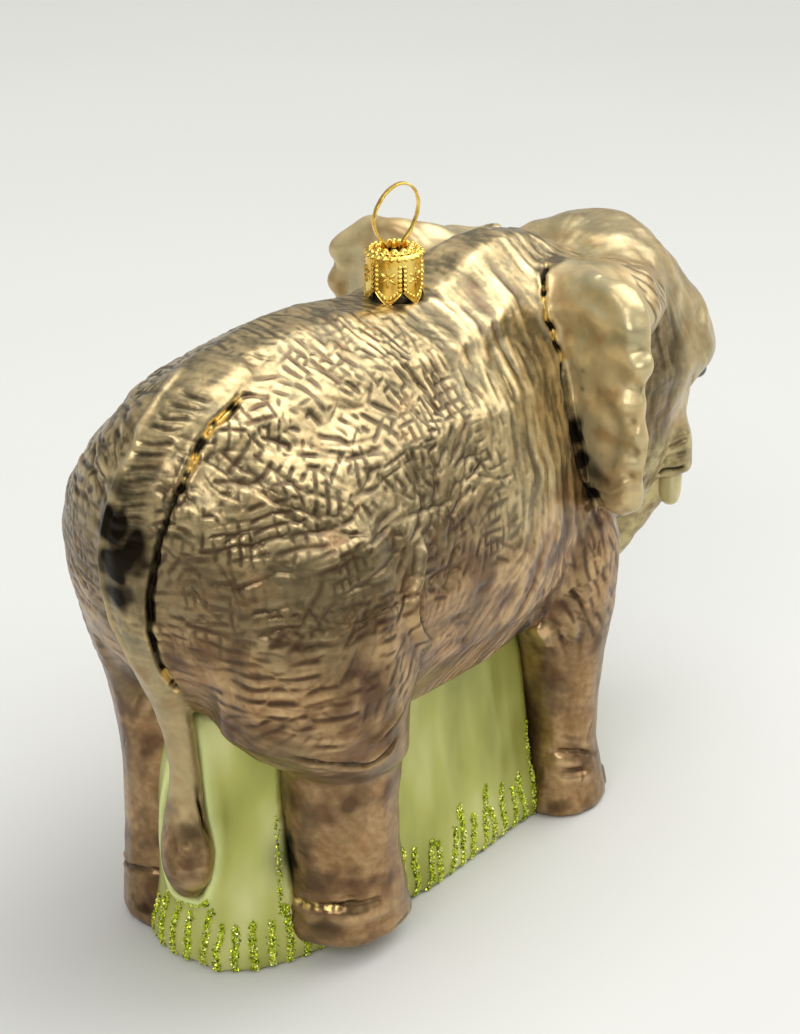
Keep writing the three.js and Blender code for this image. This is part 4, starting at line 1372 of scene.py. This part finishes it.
# Share of the way down a tusk, and its thickness there.
TUSK_SHAPE = [(0, 0.92), (0.3, 0.98), (0.6, 1.0), (0.8, 0.93), (0.92, 0.76), (0.98, 0.5), (1, 0.3)]
TUSK_TURNS = 40
EYE_TURNS = 32
EYE_TIERS = 20


def middle_and_half(name):
    low, high = node_box(name)
    return (low + high) / 2, (high - low) / 2


def ball(centre, radius, turns, tiers):
    lift, turn = np.meshgrid(
        np.linspace(0, math.pi, tiers + 1), np.linspace(0, 2 * math.pi, turns, endpoint=False), indexing="ij",
    )
    out = np.stack([np.sin(lift) * np.cos(turn), np.sin(lift) * np.sin(turn), np.cos(lift)], 2)
    faces = [(a, d, c, b) for a, b, c, d in lattice(tiers + 1, turns)]
    return (centre + radius * out).reshape(-1, 3), faces


def eyes():
    for side in ("right", "left"):
        centre, half = middle_and_half(f"eye_{side}")
        item = make_object(f"eye_ball_{side}", *ball(centre, half, EYE_TURNS, EYE_TIERS), eye_finish())
        finish_piece(item, "eye_paint", f"eye_{side}")


def lofted(rings):
    """A closed body through rings of points, all of the same count."""
    rings = np.asarray(rings, float)
    tiers, turns, _ = rings.shape
    points = np.vstack([rings.reshape(-1, 3), rings[0].mean(0), rings[-1].mean(0)])
    faces = lattice(tiers, turns)
    first, last = tiers * turns, tiers * turns + 1
    for j in range(turns):
        k = (j + 1) % turns
        faces.append((first, k, j))
        faces.append((last, (tiers - 1) * turns + j, (tiers - 1) * turns + k))
    return points, faces


def tusks():
    shape = curve_through([(down, thick, 0) for down, thick in TUSK_SHAPE], 0.02)
    turns = np.linspace(0, 2 * math.pi, TUSK_TURNS, endpoint=False)
    for side in ("right", "left"):
        centre, half = middle_and_half(f"tusk_{side}")
        rings = []
        for down, thick, _ in shape:
            rings.append(np.stack([
                centre[0] + half[0] * thick * np.cos(turns),
                centre[1] + 0.9 * half[1] * thick * np.sin(turns),
                np.full(TUSK_TURNS, centre[2] + half[2] - down * 2 * half[2]),
            ], 1))
        item = make_object(f"tusk_smooth_{side}", *lofted(rings[::-1]), ivory_finish())
        finish_piece(item, "ivory_paint", f"tusk_{side}")


# ---------- the cap and its loop ----------

PETALS = 6
CAP_TURN = 0.48 # how far the slits between the petals are turned about the upright
SLIT_WIDTH = 0.34
SLIT_HEIGHT = 6.6
POINT_HEIGHT = 2.0
SHEET = 0.00025 # the sheet's thickness in metres
PRESSED = 0.42 # how far the pressed marks stand out of the sheet at most
LID_HOLE = 2.3
COLLAR = 0.8 # the height of the bumps round the lid's hole
PETAL_GRID = (61, 91) # points across a petal and up it
LID_GRID = (360, 49) # points round the lid and in towards its hole
RIM_BEADS = 22
COLLAR_BUMPS = 11


def embossed(across, up, marks):
    """How far marks pressed in a sheet rise: each is its place, half length, half width, turn and height."""
    total = np.zeros_like(across)
    for x, y, long, wide, turn, height in marks:
        along = (across - x) * math.cos(turn) + (up - y) * math.sin(turn)
        aside = (up - y) * math.cos(turn) - (across - x) * math.sin(turn)
        shape = np.sqrt(np.clip(1 - (along / long) ** 2 - (aside / wide) ** 2, 0, 1))
        total = np.maximum(total, height * shape)
    return total


def petal_marks(half, tall):
    """Beads along both sides of a petal and its point, a six-rayed star and a row of beads at the top."""
    marks = []
    for side in (-1, 1):
        for up in np.arange(2.5, SLIT_HEIGHT + 0.6, 0.82):
            marks.append((side * (half - 0.5), up, 0.44, 0.3, side * 0.45, 0.34))
        for share in (0.22, 0.5, 0.78):
            marks.append((side * share * (half - 0.5), 0.75 + 1.5 * share, 0.42, 0.28, side * 0.7, 0.3))
    middle = 0.54 * tall
    for ray in range(6):
        turn = math.pi * (ray / 3 + 1 / 6)
        marks.append((math.cos(turn), middle + math.sin(turn), 0.62, 0.2, turn, 0.34))
    for across in (-1.5, -0.5, 0.5, 1.5):
        marks.append((across * half / 2, tall - 0.5, 0.4, 0.36, 0.0, PRESSED))
    return marks


def petal(number, radius, low, tall):
    """One petal of the cap, bent round its axis."""
    half = math.pi * radius / PETALS
    side, height = np.meshgrid(np.linspace(-1, 1, PETAL_GRID[0]), np.linspace(0, 1, PETAL_GRID[1]) ** 1.1)
    up = height * tall
    wide = np.where(up < SLIT_HEIGHT, half - SLIT_WIDTH / 2, half)
    across = side * wide * np.clip(up / POINT_HEIGHT, 0.02, 1) ** 0.75
    rise = embossed(across, up, petal_marks(half, tall))
    rise = rise + 0.12 * hill(np.abs(side), 1.0, 0.06) + 0.25 * hill(up, 0, 1.6)
    rounding = 0.45 * ramp(tall - 0.5, tall, up)
    out = radius - PRESSED + rise - rounding
    turn = CAP_TURN + (2 * number + 1) * math.pi / PETALS + across / radius
    points = np.stack([out * np.cos(turn), out * np.sin(turn), low + up], 2).reshape(-1, 3)
    return points, lattice(*side.shape, closed=False)


def embossed_ring(turn, out, radius, count, size, height):
    """Round bumps set evenly round a circle."""
    step = 2 * math.pi / count
    along = ((turn + step / 2) % step - step / 2) * radius
    return height * np.sqrt(np.clip(1 - (along / size) ** 2 - ((out - radius) / size) ** 2, 0, 1))


def cap_lid(radius, top):
    """The lid: a ring of beads at its rim, and a collar of rounded bumps round the hole."""
    turn, out = np.meshgrid(
        np.linspace(0, 2 * math.pi, LID_GRID[0], endpoint=False),
        np.linspace(radius - 0.84, LID_HOLE, LID_GRID[1]),
    )
    rim = embossed_ring(turn, out, radius - 1.15, RIM_BEADS, 0.46, PRESSED)
    bumps = embossed_ring(turn, out, LID_HOLE + 0.62, COLLAR_BUMPS, 0.72, COLLAR)
    inner = 0.35 * COLLAR * hill(out, LID_HOLE + 0.6, 0.6)
    drop = 0.9 * ramp(LID_HOLE + 0.25, LID_HOLE, out)
    height = top + np.maximum(np.maximum(rim, bumps), inner) - drop
    points = np.stack([out * np.cos(turn), out * np.sin(turn), height], 2).reshape(-1, 3)
    return points, lattice(*turn.shape)


def cap():
    low, high = node_box("cap")
    radius = (high[0] - low[0]) / 2
    top = high[2] - COLLAR
    parts = [petal(number, radius, low[2], top - low[2]) for number in range(PETALS)]
    parts.append(cap_lid(radius, top))
    item = make_object("cap_sheet", *joined(parts), brass_finish("cap_brass", 300))
    applied(item, "SOLIDIFY", thickness=SHEET, offset=-1)
    finish_piece(item, "cap_brass", "cap")


# The loop's line, out from the cap's axis and up from the cap's lid.
LOOP_LINE = [
    (1.1, -3.4), (1.45, -0.8), (1.6, 0.9), (3.2, 2.9), (3.8, 5.4), (3.0, 7.9), (1.2, 10.2),
    (-1.3, 11.3), (-3.5, 10.3), (-4.5, 7.9), (-4.2, 5.4), (-3.1, 2.9), (-1.6, 0.9), (-1.45, -0.8),
    (-1.1, -3.4),
]
LOOP_TURN = 1.13 # the loop's turn about the upright
STRIP_HALF_WIDTH = 0.5
STRIP_HALF_THICK = 0.22
STRIP_TURNS = 24


def loop():
    """A flat brass strip bent into a loop, with its corners a little rounded."""
    top = node_box("cap")[1][2] - COLLAR
    line = curve_through([(out, 0, up) for out, up in LOOP_LINE], 0.2)
    ahead = unit(np.gradient(line, axis=0))
    across = np.array([0.0, 1.0, 0.0])
    turns = np.linspace(0, 2 * math.pi, STRIP_TURNS, endpoint=False)
    wide, thick = [np.sign(f(turns)) * np.abs(f(turns)) ** 0.5 for f in (np.cos, np.sin)]
    rings = []
    for k, (place, forward) in enumerate(zip(line, ahead)):
        outward = np.cross(forward, across)
        half = STRIP_HALF_WIDTH * (1 + 0.05 * math.sin(k * 0.7))
        rings.append(place + wide[:, None] * half * across + thick[:, None] * STRIP_HALF_THICK * outward)
    points, faces = lofted(rings)
    x, y, z = points.T
    c, s = math.cos(LOOP_TURN), math.sin(LOOP_TURN)
    points = np.stack([x * c - y * s, x * s + y * c, z + top], 1)
    item = make_object("loop_strip", points, faces, brass_finish("loop_brass", 900))
    finish_piece(item, "wire_brass", "hanger")


def glass_neck():
    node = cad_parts["glass_neck"]
    node.data.materials.clear()
    node.data.materials.append(bare_glass_finish())


camera()
studio()
GRID = Grid()
FIELDS = {name: GRID.to_node(name) for name in (*FLESH, "grass_base")}
FLESH_FIELDS = {name: FIELDS[name] for name in FLESH}
FLESH_DISTANCE = np.min(list(FLESH_FIELDS.values()), axis=0)
raise_relief(skin(GRID, FLESH_FIELDS), GRID, FLESH_FIELDS)
glitter(blades(grass(GRID, FIELDS, FLESH_DISTANCE), GRID, FLESH_DISTANCE))
eyes()
tusks()
cap()
loop()
glass_neck()
